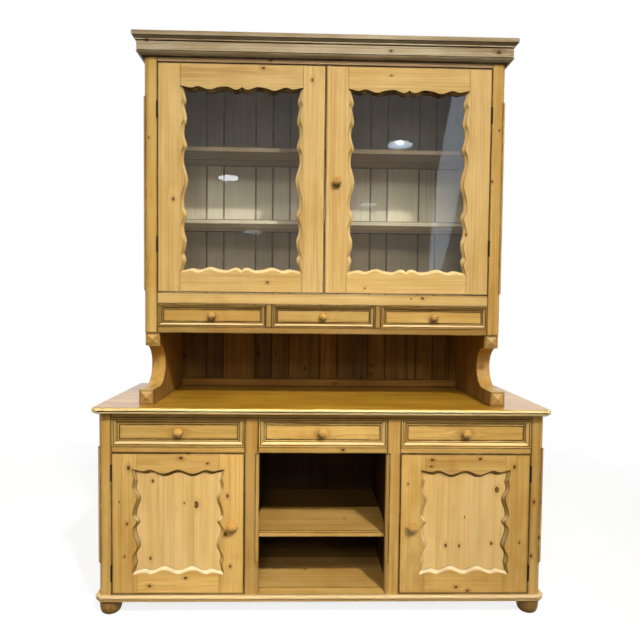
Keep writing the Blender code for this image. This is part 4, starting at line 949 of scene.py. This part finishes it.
def strip_reach(kind):
    """How far a strip on a cant stands out past the end's own side."""
    _, _, width, thickness = STRIPS[kind]
    return max(0.0, (thickness + width / 2) * math.sqrt(0.5) - CANT[kind] / 2)


def make_end(kind, side):
    """An end: a canted corner post with its strip, and upright side boards behind it."""
    piece = Piece(f"{kind}_end_{side_name(side)}")
    low, high = piece.box
    cant, front = CANT[kind], FRONTS[kind]
    outer = max(-low.x, high.x) - strip_reach(kind)
    inner, back = outer - POST[kind][0], front + POST[kind][1]
    outline = [(inner, front), (outer - cant, front), (outer, front + cant), (outer, back), (inner, back)]
    x = ordered(side * inner, side * outer)
    matrix, half = box_matrix((x[0], front, low.z), (x[1], back, high.z), "Z", "X")
    knots = POST_KNOTS.get((kind, side))
    piece.prism(mirrored(outline, side), "XY", low.z, high.z, matrix, half, "pine", 0.0009, knots=knots)
    a, b = ordered(side * (outer - SIDE_BOARD[kind]), side * outer)
    planks(
        piece, (a, back + JOINT, low.z), (b, high.y, high.z), "Z", "Y", SIDE_COUNT[kind], "pine", 0.001,
        turned=((-side, 0, 0), SIDE_INSIDE[kind]),
    )
    applied_strip(piece, kind, (side * (outer - cant / 2), front + cant / 2), (side, -1))
    piece.done()


def make_mid_post(side):
    piece = Piece("mid_post_" + side_name(side))
    low, high = piece.box
    cant, front = CANT["base"], FRONTS["base"]
    inner, outer = MID_POST
    back = front + POST["base"][1]
    bottom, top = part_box("base_bottom_board")[1].z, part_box("drawer_board")[0].z
    full = [(inner, front), (outer, front), (outer, back), (inner, back)]
    canted = [(inner + cant, front), *full[1:], (inner, front + cant)]
    x = ordered(side * inner, side * outer)
    matrix, half = box_matrix((x[0], front, low.z), (x[1], back, high.z), "Z", "X")
    tone = (0.0, 0.03, 0.0) if side > 0 else (-0.16, 0.14, 0.0)
    for outline, a, b in ((canted, bottom, top), (full, low.z, bottom), (full, top, high.z)):
        shape = mirrored(outline, side)
        piece.prism(shape, "XY", a, b, matrix, half, "pine", 0.0008, tone=tone, knots=())
    a, b = ordered(side * PARTITION[0], side * PARTITION[1])
    # The partition is in the shade finish: painted shade inside the niche
    planks(piece, (a, back, bottom), (b, high.y, top), "Z", "Y", 3, "shade")
    applied_strip(piece, "mid", (side * (inner + cant / 2), front + cant / 2), (-side, -1))
    piece.done()


def whole_board(node, name, finish, tone):
    piece = Piece(node, name)
    piece.board(*piece.box, "X", finish, tone=tone)
    piece.done()


def make_base_boards():
    front = FRONTS["base"]
    step = front + POST["base"][1] + JOINT
    near, far, post_x = MID_POST[0] - JOINT, MID_POST[1] + JOINT, POST_INNER["base"] - JOINT
    whole_board("base_top_rail", "base_top_rail_wood", "pine", (-0.05, 0.05, 0.0))
    for name in ("drawer_board", "base_bottom_board"):
        piece = Piece(name)
        low, high = piece.box
        for start, end in ((-post_x, -far), (-near, near), (far, post_x)):
            knots = RAIL_KNOTS if name == "drawer_board" and start < 0 < end else None
            piece.board((start, front, low.z), (end, step, high.z), "X", "pine", 0.0009, "Z", knots=knots)
        # Behind the rails the planks darken towards the back: painted shade deep in the niche
        planks(piece, (low.x, step, low.z), high, "X", "Y", 2, "pine", tone=(-0.08, 0.05, 0.06), shade_step=0.5)
        piece.done()
    piece = Piece("niche_shelf")
    low, high = piece.box
    edge_high = (near, step - JOINT, high.z)
    piece.board((-near, low.y, low.z), edge_high, "X", "pine", 0.0016, tone=(0.0, 0.1, 0.0))
    # The shelf's planks behind its front board darken towards the back: painted shade
    planks(piece, (low.x, step, low.z), high, "X", "Y", 2, "pine", tone=(-0.22, 0.16, 0.0), shade_step=0.5)
    piece.done()


def make_top_board():
    """Four long boards with a rounded front edge and canted front corners."""
    piece = Piece("base_top_board", "base_top_wood")
    low, high = piece.box
    outline = canted_path(high.x, low.y, high.y, TOP_CANT)
    part = solid_outline(outline, "XY", low.z, high.z)
    rounded = []
    for edge in part.edges:
        start, end = (vert.co for vert in edge.verts)
        if abs(start.z - end.z) < 0.001 and min(start.y, end.y) < high.y - 0.001:
            rounded.append(edge)
    round_edges(part, rounded, NOSING, 5)
    limits = [low.y + (high.y - low.y) * share for share in TOP_JOINTS]
    for limit in limits[1:-1]:
        cut(part, "Y", limit)
    part.normal_update()
    for start, end in zip(limits, limits[1:]):
        faces = [face for face in part.faces if start < face.calc_center_median().y < end]
        matrix, half = box_matrix((low.x, start, low.z - 0.01), (high.x, end, high.z), "X")
        piece.absorb(part, faces, matrix, half, "waxed", turned=((0, -1, 0), "nosing"))
    part.free()
    piece.done()


def make_plinth():
    piece = Piece("plinth_moulding", "plinth_wood")
    low, high = piece.box
    out, top, foot = FRONTS["base"] - low.y, high.z, low.z
    height = top - foot
    profile = [(JOINT, top, 0.3), (out * 0.72, top, 0.1)]
    for cosine, sine in arc(15, 165, 10):
        profile.append((out * (0.72 + 0.28 * sine), top - height * 0.275 * (1 - cosine), 0.0))
    profile += [(out * 0.74, top - height * 0.56, 0.85), (out * 0.84, top - height * 0.6, 0.35)]
    profile += [(out * 0.88, foot + 0.001, 0.25), (out * 0.84, foot, 0.5), (JOINT, foot, 0.8)]
    path = canted_path(BASE_HALF_WIDTH, FRONTS["base"], BACK_FACE, CANT["base"])
    # Points above half the moulding's height are paler
    run_of_moulding(piece, profile, path, "door", (0.06, 0.0, 0.1), paler_above=top - height * 0.5)
    piece.done()


def lathe(profile, steps, soil_and_shade=lambda y, z: 0.0):
    """A turned solid about its own Z axis. The last argument gives its dirt and painted shade at a place."""
    part = new_shape()
    round_trip = arc(0, 360, steps)[:-1]
    rings = []
    for radius, height in profile:
        points = round_trip if radius > 1e-6 else [(0.0, 0.0)]
        places = [(radius * a, radius * b, height) for a, b in points]
        rings.append([point(part, place, soil_and_shade(*place[1:])) for place in places])
    for upper, lower in zip(rings, rings[1:]):
        for i in range(steps):
            j = (i + 1) % steps
            if len(upper) == 1:
                part.faces.new((upper[0], lower[i], lower[j]))
            elif len(lower) == 1:
                part.faces.new((upper[i], lower[0], upper[j]))
            else:
                part.faces.new((upper[i], lower[i], lower[j], upper[j]))
    bmesh.ops.recalc_face_normals(part, faces=part.faces)
    return part


def make_foot(name):
    piece = Piece(name, name + "_turned")
    low, high = piece.box
    wide, tall = (high.x - low.x) / 2, high.z - low.z
    neck, sole, belly = wide * 0.8, wide * 0.55, tall * 0.7
    profile = [(0.0, tall), (neck, tall)]
    profile += [(neck + (wide - neck) * a, belly + (tall - belly) * 0.95 * b) for a, b in arc(75, 0, 5)]
    profile += [(sole + (wide - sole) * max(a, 0.0) ** 0.7, belly - belly * b) for a, b in arc(15, 90, 5)]
    part = lathe([*profile, (0.0, 0.0)], 48, lambda y, z: 0.3 + 0.55 * max(0.0, 1 - z / (tall * 0.5)))
    centre = centre_of(low, high)
    bmesh.ops.translate(part, vec=(centre[0], centre[1], low.z), verts=part.verts)
    matrix = axis_matrix(AXES["Z"], AXES["X"], AXES["Y"], centre)
    piece.add(part, matrix, (tall, wide * 2, wide * 2), "pine", tone=(-0.3, 0.25, 0.0), knots=())
    piece.done()


def make_bracket(side):
    """A shaped bracket: foot block, round hollow, head block, and a low point on each block's face."""
    piece = Piece("bracket_" + side_name(side))
    low, high = piece.box
    kerb_rise, foot_rise = (POINT_RISE * share for share in POINT_STEPS)
    foot_front, head_front = low.y + POINT_RISE, FRONTS["cabinet"] + HEAD_BLOCK_BACK
    foot_top, head_foot = low.z + FOOT_BLOCK, high.z - HEAD_BLOCK
    radius = (head_foot - foot_top) / 2
    y, z = FRONTS["cabinet"] + HOLLOW_BACK, (head_foot + foot_top) / 2
    outline = [
        (high.y, low.z), (foot_front, low.z), (foot_front, foot_top),
        *((y + radius * a, z + radius * b) for a, b in arc(-90, 90, 32)),
        (head_front, head_foot), (head_front, high.z), (high.y, high.z),
    ]
    matrix, half = box_matrix((low.x, foot_front, low.z), high, "Z")
    # The inner side takes the darker copy of the wood: painted shade under the cabinet
    inside = ((-side, 0, 0), "bracket_side")
    piece.prism(outline, "YZ", low.x, high.x, matrix, half, "bracket", 0.0012, turned=inside)
    for front, z in ((foot_front, (low.z, foot_top)), (head_front, (head_foot, high.z))):
        part = new_shape()
        outer, inner = (rectangle((low.x, high.x), z, POINT_MARGIN + more) for more in (0.0, POINT_KERB))
        base, kerb = (
            [point(part, (px, front + depth, pz), 0.95) for px, pz in outer]
            for depth in (POINT_SEAT, -kerb_rise)
        )
        middle = centre_of(outer[0], outer[2])
        # The point's facets get painted shade below and at the sides, and a painted highlight on top
        for i, look in enumerate(POINT_SHADE_AND_HIGHLIGHT):
            j = (i + 1) % 4
            pair = [point(part, (inner[k][0], front - foot_rise, inner[k][1]), *look) for k in (i, j)]
            tip = point(part, (middle[0], front - POINT_RISE, middle[1]), *look)
            part.faces.new((base[i], base[j], kerb[j], kerb[i]))
            part.faces.new((kerb[i], kerb[j], pair[1], pair[0]))
            part.faces.new((*pair, tip))
        part.faces.new(base[::-1])
        corners = ((low.x, front - POINT_RISE, z[0]), (high.x, front + 0.04, z[1]))
        block, block_half = box_matrix(*corners, "X")
        piece.add(part, block, block_half, "bracket", knots=())
    piece.done()


def make_cabinet_boards():
    front = FRONTS["cabinet"]
    step = front + POST["cabinet"][1] + JOINT
    post_x = POST_INNER["cabinet"] - JOINT
    piece = Piece("cabinet_bottom_board", "cabinet_bottom_wood")
    low, high = piece.box
    rail = ((-post_x, front, low.z), (post_x, step, high.z))
    piece.board(*rail, "X", "pine", across="Z", tone=(-0.32, 0.1, 0.03))
    # Behind the rail the planks take the dark niche wood, darkened partly as painted shade
    planks(piece, (low.x, step, low.z), high, "X", "Y", 3, "niche")
    piece.done()

    piece = Piece("cabinet_floor")
    low, high = piece.box
    rail_back, floor_z = front + CABINET_RAIL, high.z - CABINET_FLOOR
    piece.board((-post_x, front, low.z), (post_x, rail_back, high.z), "X", "door")
    piece.board((-post_x, rail_back, floor_z), (post_x, step, high.z), "X", "paint")
    planks(piece, (low.x, step, floor_z), high, "X", "Y", 2, "paint")
    piece.done()

    for word in ("left", "right"):
        piece = Piece("drawer_divider_" + word)
        low, high = piece.box
        split = low.y + DIVIDER_FACE
        piece.board(low, (high.x, split, high.z), "Z", "pine", tone=(-0.28, 0.1, 0.0))
        piece.board((low.x, split, low.z), high, "Y", "raw")
        piece.done()

    # The lower shelf's front board is paler than its back one, painted light where light falls on it
    for word, finish, front_tone_and_light in (("lower", "paint", 0.34), ("upper", "brown_paint", 0.12)):
        piece = Piece("cabinet_shelf_" + word)
        low, high = piece.box
        split = low.y + (high.y - low.y) * SHELF_JOINT
        piece.board(low, (high.x, split, high.z), "X", finish, 0.0022, tone=(front_tone_and_light, 0.0, 0.0))
        piece.board((low.x, split, low.z), high, "X", finish, tone=(0.12, 0.0, 0.0))
        piece.done()

    whole_board("frieze_rail", "frieze_wood", "frieze", (0.0, 0.05, 0.08))
    piece = Piece("cabinet_top_board", "cabinet_top_wood")
    low, high = piece.box
    a, b = (-post_x, low.y, low.z), (post_x, high.y, high.z)
    planks(piece, a, b, "X", "Y", 3, "raw", turned=((0, 0, -1), "paint"))
    for side in SIDES:
        x = ordered(side * post_x, side * high.x)
        piece.board((x[0], step, low.z), (x[1], high.y, high.z), "X", "raw")
    piece.done()


def make_backs():
    piece = Piece("cabinet_back_boards", "cabinet_back_wood")
    low, high = piece.box
    reach, tall, thick = NICHE_RAIL
    face = low.y + thick
    shelves = [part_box("cabinet_shelf_" + word)[0].z for word in ("lower", "upper")]
    levels = [low.z, PAINT_FOOT, *shelves, high.z]
    # Below the cabinet the boards and the rail take the dark niche wood, darkened partly as painted shade
    finishes = (("niche", 0.42), ("paint",), ("cream_paint",), ("cream_paint",))
    for foot, top, finish in zip(levels, levels[1:], finishes):
        upright_boards(piece, "cabinet", face, (foot, top), *finish)
    rail = ((-reach, low.y, low.z + JOINT), (reach, face, low.z + tall))
    piece.board(*rail, "X", "niche", 0.0016, tone=(0.9, 0.1, 0))
    piece.done()
    piece = Piece("base_back_boards", "base_back_wood")
    low, high = piece.box
    # The base's back boards take the shade finish: painted shade at the back of the niche
    upright_boards(piece, "base", low.y, (low.z, high.z), "shade", 0.2)
    piece.done()


def make_cornice():
    """Fillet, cove, bead, flat fascia and ogee round the top of the cabinet, its corners square."""
    piece = Piece("cornice")
    low, high = piece.box
    front = FRONTS["cabinet"]
    out, tall = front - low.y, high.z - low.z
    shown = [(out * reach, high.z - tall * down, soil_and_shade) for reach, down, soil_and_shade in CORNICE_PROFILE]
    profile = [(JOINT, high.z, 0.6), *shown, (JOINT, low.z, 0.9)]
    half = high.x - out
    path = [(-half, high.y), (-half, front), (half, front), (half, high.y)]
    run_of_moulding(piece, profile, path, "weathered", knots=CORNICE_KNOTS)
    piece.done()


def make_knob(name, body):
    """A turned mushroom knob on a waisted stem."""
    piece = Piece(name, name + "_turned", body)
    low, high = piece.box
    radius, length = (high.x - low.x) / 2, high.y - low.y
    head = length * KNOB_HEAD
    middle = length - head
    profile = [(0.0, length), *((radius * b, middle + head * a) for a, b in arc(9, 90, 9))]
    profile += [(radius * a, middle - head * b) for a, b in KNOB_UNDERSIDE]
    profile += [(radius * a, length * b) for a, b in KNOB_STEM]

    def soil_and_shade(y, z):
        """Darker towards the foot of the stem, and painted shade on the underside."""
        return min(1.0, max(0.0, 1.05 - z / middle) + 0.85 * max(0.0, -y / radius))

    part = lathe(profile, 40, soil_and_shade)
    centre = centre_of(low, high)
    place = Matrix.Translation((centre[0], high.y, centre[2])) @ Matrix.Rotation(math.radians(90), 4, "X")
    bmesh.ops.transform(part, matrix=place, verts=part.verts)
    matrix = axis_matrix(AXES["X"], AXES["Z"], AXES["Y"], centre)
    tone = (KNOB_TONES[name.split("_")[0]], 0.0, 0.0)
    piece.add(part, matrix, (radius * 2, radius * 2, radius * 2), "knob", tone=tone, knots=())
    piece.done()


def make_hinges(kind, side):
    for row in ("lower", "upper"):
        make_hinge(f"{kind}_hinge_{side_name(side)}_{row}", HINGE_X[kind] * side, side)


def make_hinge(name, axis_x, side):
    """A butt hinge: knuckles and pin ends, and the edge of a leaf."""
    piece = Piece(name, name + "_iron")
    low, high = piece.box
    axis_y, tall = low.y + HINGE_PIN, high.z - low.z
    ends = tall * PIN_END

    def barrel(profile, steps):
        part = lathe(profile, steps)
        bmesh.ops.translate(part, vec=(axis_x, axis_y, 0.0), verts=part.verts)
        piece.add(part, Matrix.Identity(4), (1, 1, 1), "iron", knots=())

    r, soft = HINGE_PIN, 0.0005
    for i in range(KNUCKLES):
        a, b = (low.z + ends + (tall - 2 * ends) * k / KNUCKLES for k in (i, i + 1))
        a, b = a + HINGE_GAP, b - HINGE_GAP
        barrel([(0.0, b), (r * 0.86, b), (r, b - soft), (r, a + soft), (r * 0.86, a), (0.0, a)], 20)
    barrel([(0.0, high.z), (r * 0.5, high.z - 0.0003), (r * 0.6, low.z + 0.0003), (0.0, low.z)], 16)
    x = ordered(*(axis_x + side * out for out in HINGE_LEAF))
    matrix, half = box_matrix((x[0], axis_y, low.z + ends), (x[1], high.y, high.z - ends), "Z")
    piece.turned_board(matrix, half, "iron", 0.0002, knots=())
    piece.done()


def add_astragal(piece, start, front, z):
    """The half-round bead on the right door's meeting edge."""
    half, tall = ASTRAGAL
    middle, end = start + half, start + 2 * half
    outline = [(start, front + ASTRAGAL_SEAT), (end, front + ASTRAGAL_SEAT)]
    outline += [(middle + half * a, front - tall * b) for a, b in arc(0, 180, 15)]
    part = solid_outline(outline, "XY", z[0] + ASTRAGAL_END, z[1] - ASTRAGAL_END)
    matrix, board_half = box_matrix((start, front - tall, z[0]), (end, front + 0.006, z[1]), "Z")
    piece.add(part, matrix, board_half, "door", tone=(0.02, 0.0, 0.06), knots=())


def make_door(kind, side):
    word = side_name(side)
    low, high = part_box(kind + "_door_frame_left")
    x, y, z = (low.x, high.x), (low.y, high.y), (low.z, high.z)
    piece = Piece(f"{kind}_door_frame_{word}", f"{kind}_door_wood_{word}", f"{kind}_door_{word}")
    scalloped_frame(piece, kind, side, x if side < 0 else (-high.x, -low.x), y, z)
    if kind == "glazed" and side > 0:
        add_astragal(piece, -high.x + 0.0005, y[0], z)
    piece.done()


def make_panel(side):
    """Three upright boards behind the cupboard door's scalloped opening."""
    word = side_name(side)
    piece = Piece(f"cupboard_panel_{word}", f"cupboard_panel_wood_{word}", f"cupboard_door_{word}")
    low, high = piece.box
    third = (high.x - low.x) / 3
    for i in range(3):
        a, b = low.x + third * i, low.x + third * (i + 1)
        knots = [knot for knot in PANEL_KNOTS[side] if a <= knot[0] < b]
        piece.board((a, low.y, low.z), (b, high.y, high.z), "Z", "panel", 0.0002, knots=knots)
    piece.done()


def make_drawer(row, word):
    """A drawer: mitred moulding round a flat field, sides, back and bottom."""
    name = f"{row}_drawer_{word}"
    piece = Piece(name, body=name + "_body")
    low, high = piece.box
    front = FRONTS["cabinet" if row == "small" else "base"]
    x, z = (low.x, high.x), (low.z + 0.0005, high.z)
    border, shade = MOULDING[row], DRAWER_SHADES[name]
    face, back_face = front + FIELD_DEPTH, front + DRAWER_FRONT
    for k in range(4):
        part = new_shape()
        rows = []
        for share, depth, soil_and_shade in DRAWER_PROFILE:
            corners = rectangle(x, z, border * share)
            sloped = SLOPE[0] <= share <= SLOPE[1]
            # The top and left slopes get painted shade, the bottom and right ones a painted highlight
            look = (min(1.0, soil_and_shade + SLOPE_SHADE[k] * sloped), SLOPE_HIGHLIGHT[k] * sloped)
            pair = (corners[k], corners[(k + 1) % 4])
            rows.append([point(part, (px, front + FIELD_DEPTH * depth, pz), *look) for px, pz in pair])
        for a, b in zip(rows, rows[1:]):
            part.faces.new((a[0], a[1], b[1], b[0]))
        part.normal_update()
        if sum(side.normal.y * side.calc_area() for side in part.faces) > 0:
            bmesh.ops.reverse_faces(part, faces=part.faces)
            part.normal_update()
        corners = rectangle(x, z, border / 2)
        start, end = corners[k], corners[(k + 1) % 4]
        middle = ((start[0] + end[0]) / 2, front, (start[1] + end[1]) / 2)
        along, across = ("X", "Z") if k % 2 == 0 else ("Z", "X")
        matrix = axis_matrix(AXES[along], AXES[across], AXES["Y"], middle)
        half = ((math.dist(start, end) + border) / 2, border / 2, 0.02)
        # Each run's tone is painted light and shade: the bottom lighter, the top darker
        tone = (DRAWER_SIDE_LIGHT[k] + shade[0], *shade[1:])
        piece.absorb(part, part.faces, matrix, half, "drawer", tone=tone, knots=())
        part.free()
    # A dark stain round the knob's foot, dropped below it as a painted shadow of the knob
    knob = centre_of(*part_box(name + "_knob"))
    stain = [(knob[0], knob[2] - KNOB_SHADOW_DROP, KNOB_SHADOW_SIZE[row])]
    tone = (shade[0] + FIELD_PALER[row], *shade[1:])
    (left, bottom), _, (right, top), _ = rectangle(x, z, border - OVERLAP)
    piece.board((left, face, bottom), (right, back_face, top), "X", "drawer", 0.0002, tone=tone, knots=stain)
    (left, bottom), _, (right, top), _ = rectangle(x, z, border)
    for a, b, foot, head in (
        (*x, z[0], bottom), (*x, top, z[1]), (x[0], left, bottom, top), (right, x[1], bottom, top),
    ):
        strip = ((a, face + 0.0012, foot), (b, back_face, head))
        piece.board(*strip, "X", "drawer", 0.0003, knots=())
    a, b, top = x[0] + DRAWER_GAP, x[1] - DRAWER_GAP, high.z - DRAWER_LOW
    left, right, back = a + DRAWER_WALL, b - DRAWER_WALL, high.y - DRAWER_WALL
    for start, end in ((a, left), (right, b)):
        piece.board((start, back_face - 2 * OVERLAP, low.z), (end, high.y, top), "Y", "raw")
    piece.board((left, back, low.z + DRAWER_BACK), (right, high.y, top), "X", "raw")
    under, upper = (low.z + height for height in DRAWER_FLOOR)
    planks(piece, (left, back_face - OVERLAP, under), (right, back, upper), "Y", "X", 3, "raw")
    piece.done()
    make_knob(name + "_knob", name + "_body")


def light_panel(name, place, target, size, power, colour=WHITE, spread=ALL_ROUND, mirrored_as=None, roll=0.0):
    """A soft lamp that faces a target. mirrored_as says whether its image shows: "too" or "only"."""
    lamp = bpy.data.lights.new(name, "AREA")
    lamp.shape = "ELLIPSE" if mirrored_as else "RECTANGLE"
    lamp.size, lamp.size_y = size
    lamp.energy = power
    lamp.color = colour
    lamp.spread = math.radians(spread)
    obj = bpy.data.objects.new(name, lamp)
    obj.location = place
    obj.rotation_euler = (Vector(target) - Vector(place)).to_track_quat("-Z", "Y").to_euler()
    obj.rotation_euler.rotate_axis("Z", math.radians(roll))
    obj.visible_camera = False
    obj.visible_glossy = mirrored_as is not None
    obj.visible_diffuse = obj.visible_transmission = mirrored_as != "only"
    bpy.context.scene.collection.objects.link(obj)


def make_lights():
    for lamp in (
        ("pendant", (0.45, -1.5, 2.5), (0.0, -0.1, 1.0), (0.22, 0.22), 3.0, WARM),
        ("ceiling_right", (1.8, -4.2, 5.4), (-0.25, -0.25, 0.5), (0.36, 0.36), 16.5, WARM, 38.0, "too"),
        ("hall", (3.0, -6.0, 3.36), (0.0, -0.1, 1.3), (0.4, 0.4), 32.0, WARM, ALL_ROUND, "too"),
        ("front", (-0.5, -5.2, 3.5), (0.0, -0.1, 1.4), (0.8, 0.8), 48.0, WARM),
        ("ceiling_left", (-1.8, -4.2, 5.0), (0.0, -0.25, 0.6), (0.9, 0.9), 9.0, WARM, 60.0),
        ("room", (0.0, -5.5, 1.3), (0.0, 0.0, 0.9), (4.0, 1.8), 12.0),
        ("behind", (0.0, 5.0, 2.6), (0.0, 0.2, 1.0), (3.0, 3.0), 70.0),
        ("end_left", (-5.0, 0.6, 2.4), (0.0, 0.1, 1.0), (2.4, 2.4), 50.0),
        ("end_right", (5.0, 0.6, 2.4), (0.0, 0.1, 1.0), (2.4, 2.4), 50.0),
    ):
        light_panel(*lamp)
    for name, place, target, size, power, colour, roll in (
        ("lamp_right", (0.919, -3.821, 2.771), RIGHT_PANE, (0.26, 0.085), 1.0, BLUE, 0),
        ("bulb_right", (0.925, -3.8, 2.79), RIGHT_PANE, (0.075, 0.045), 0.5, WHITE, 0),
        ("lamp_left", (-1.042, -4.96, 2.657), LEFT_PANE, (0.25, 0.07), 1.1, (0.9, 0.95, 1.0), 0),
        ("far_right", (0.742, -5.018, 2.356), RIGHT_PANE, (0.22, 0.05), 0.2, WHITE, 0),
        ("far_left", (-0.843, -6.055, 2.125), LEFT_PANE, (0.26, 0.05), 0.2, WHITE, 0),
        ("streak", (1.37, -3.44, 2.44), RIGHT_PANE, (0.24, 2.3), 6.0, COOL, STREAK_ROLL),
    ):
        light_panel(name, place, target, size, power, colour, ALL_ROUND, "only", roll)


def make_world():
    world = bpy.data.worlds.new("studio")
    bpy.context.scene.world = world
    world.use_nodes = True
    g = Graph(world.node_tree)
    strength = g.seen() * (1.0 - AMBIENT) + AMBIENT
    g.surface(g.add("ShaderNodeBackground", {"Color": (1, 1, 1, 1), "Strength": strength}), "World")


def make_floor():
    mesh = bpy.data.meshes.new("floor")
    corners = rectangle((-FLOOR_REACH, FLOOR_REACH), (-FLOOR_REACH, FLOOR_REACH))
    mesh.from_pydata([(x, y, 0) for x, y in corners], [], [(0, 1, 2, 3)])
    mesh.materials.append(white_floor("floor"))
    floor = bpy.data.objects.new("floor", mesh)
    bpy.context.scene.collection.objects.link(floor)


def make_camera():
    level = Vector((math.cos(CAMERA_YAW), -math.sin(CAMERA_YAW), 0.0))
    ahead = Vector((math.sin(CAMERA_YAW), math.cos(CAMERA_YAW), 0.0))
    forward = ahead * math.cos(CAMERA_DOWN) - AXES["Z"] * math.sin(CAMERA_DOWN)
    upright = level.cross(forward)
    right = level * math.cos(CAMERA_ROLL) + upright * math.sin(CAMERA_ROLL)
    up = upright * math.cos(CAMERA_ROLL) - level * math.sin(CAMERA_ROLL)
    camera = bpy.data.cameras.new("photo")
    camera.sensor_width = SENSOR
    camera.sensor_fit = "HORIZONTAL"
    camera.lens = FOCAL_PIXELS / IMAGE_PIXELS * SENSOR
    camera.shift_x, camera.shift_y = CENTRE_SHIFT
    camera.clip_start = 0.05
    obj = bpy.data.objects.new("photo", camera)
    obj.matrix_world = axis_matrix(right, up, -forward, CAMERA_PLACE)
    bpy.context.scene.collection.objects.link(obj)
    bpy.context.scene.camera = obj


def main():
    make_materials()
    make_camera()
    make_world()
    make_lights()
    make_floor()
    for side in SIDES:
        make_end("base", side)
        make_end("cabinet", side)
        make_mid_post(side)
        make_bracket(side)
    make_base_boards()
    make_top_board()
    make_plinth()
    for name in ("front_left", "front_right", "back_left", "back_right"):
        make_foot("foot_" + name)
    make_cabinet_boards()
    make_backs()
    make_cornice()
    for side in SIDES:
        make_door("glazed", side)
        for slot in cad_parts["glass_pane_" + side_name(side)].material_slots:
            slot.material = MATERIALS["glass"]
    make_knob("glazed_door_knob", "glazed_door_right")
    for side in SIDES:
        make_hinges("glazed", side)
    for side in SIDES:
        make_door("cupboard", side)
        make_panel(side)
        make_knob("cupboard_knob_" + side_name(side), "cupboard_door_" + side_name(side))
        make_hinges("cupboard", side)
    for row in ("base", "small"):
        for word in ("left", "centre", "right"):
            make_drawer(row, word)
    bpy.context.scene.view_settings.view_transform = "Standard"


main()
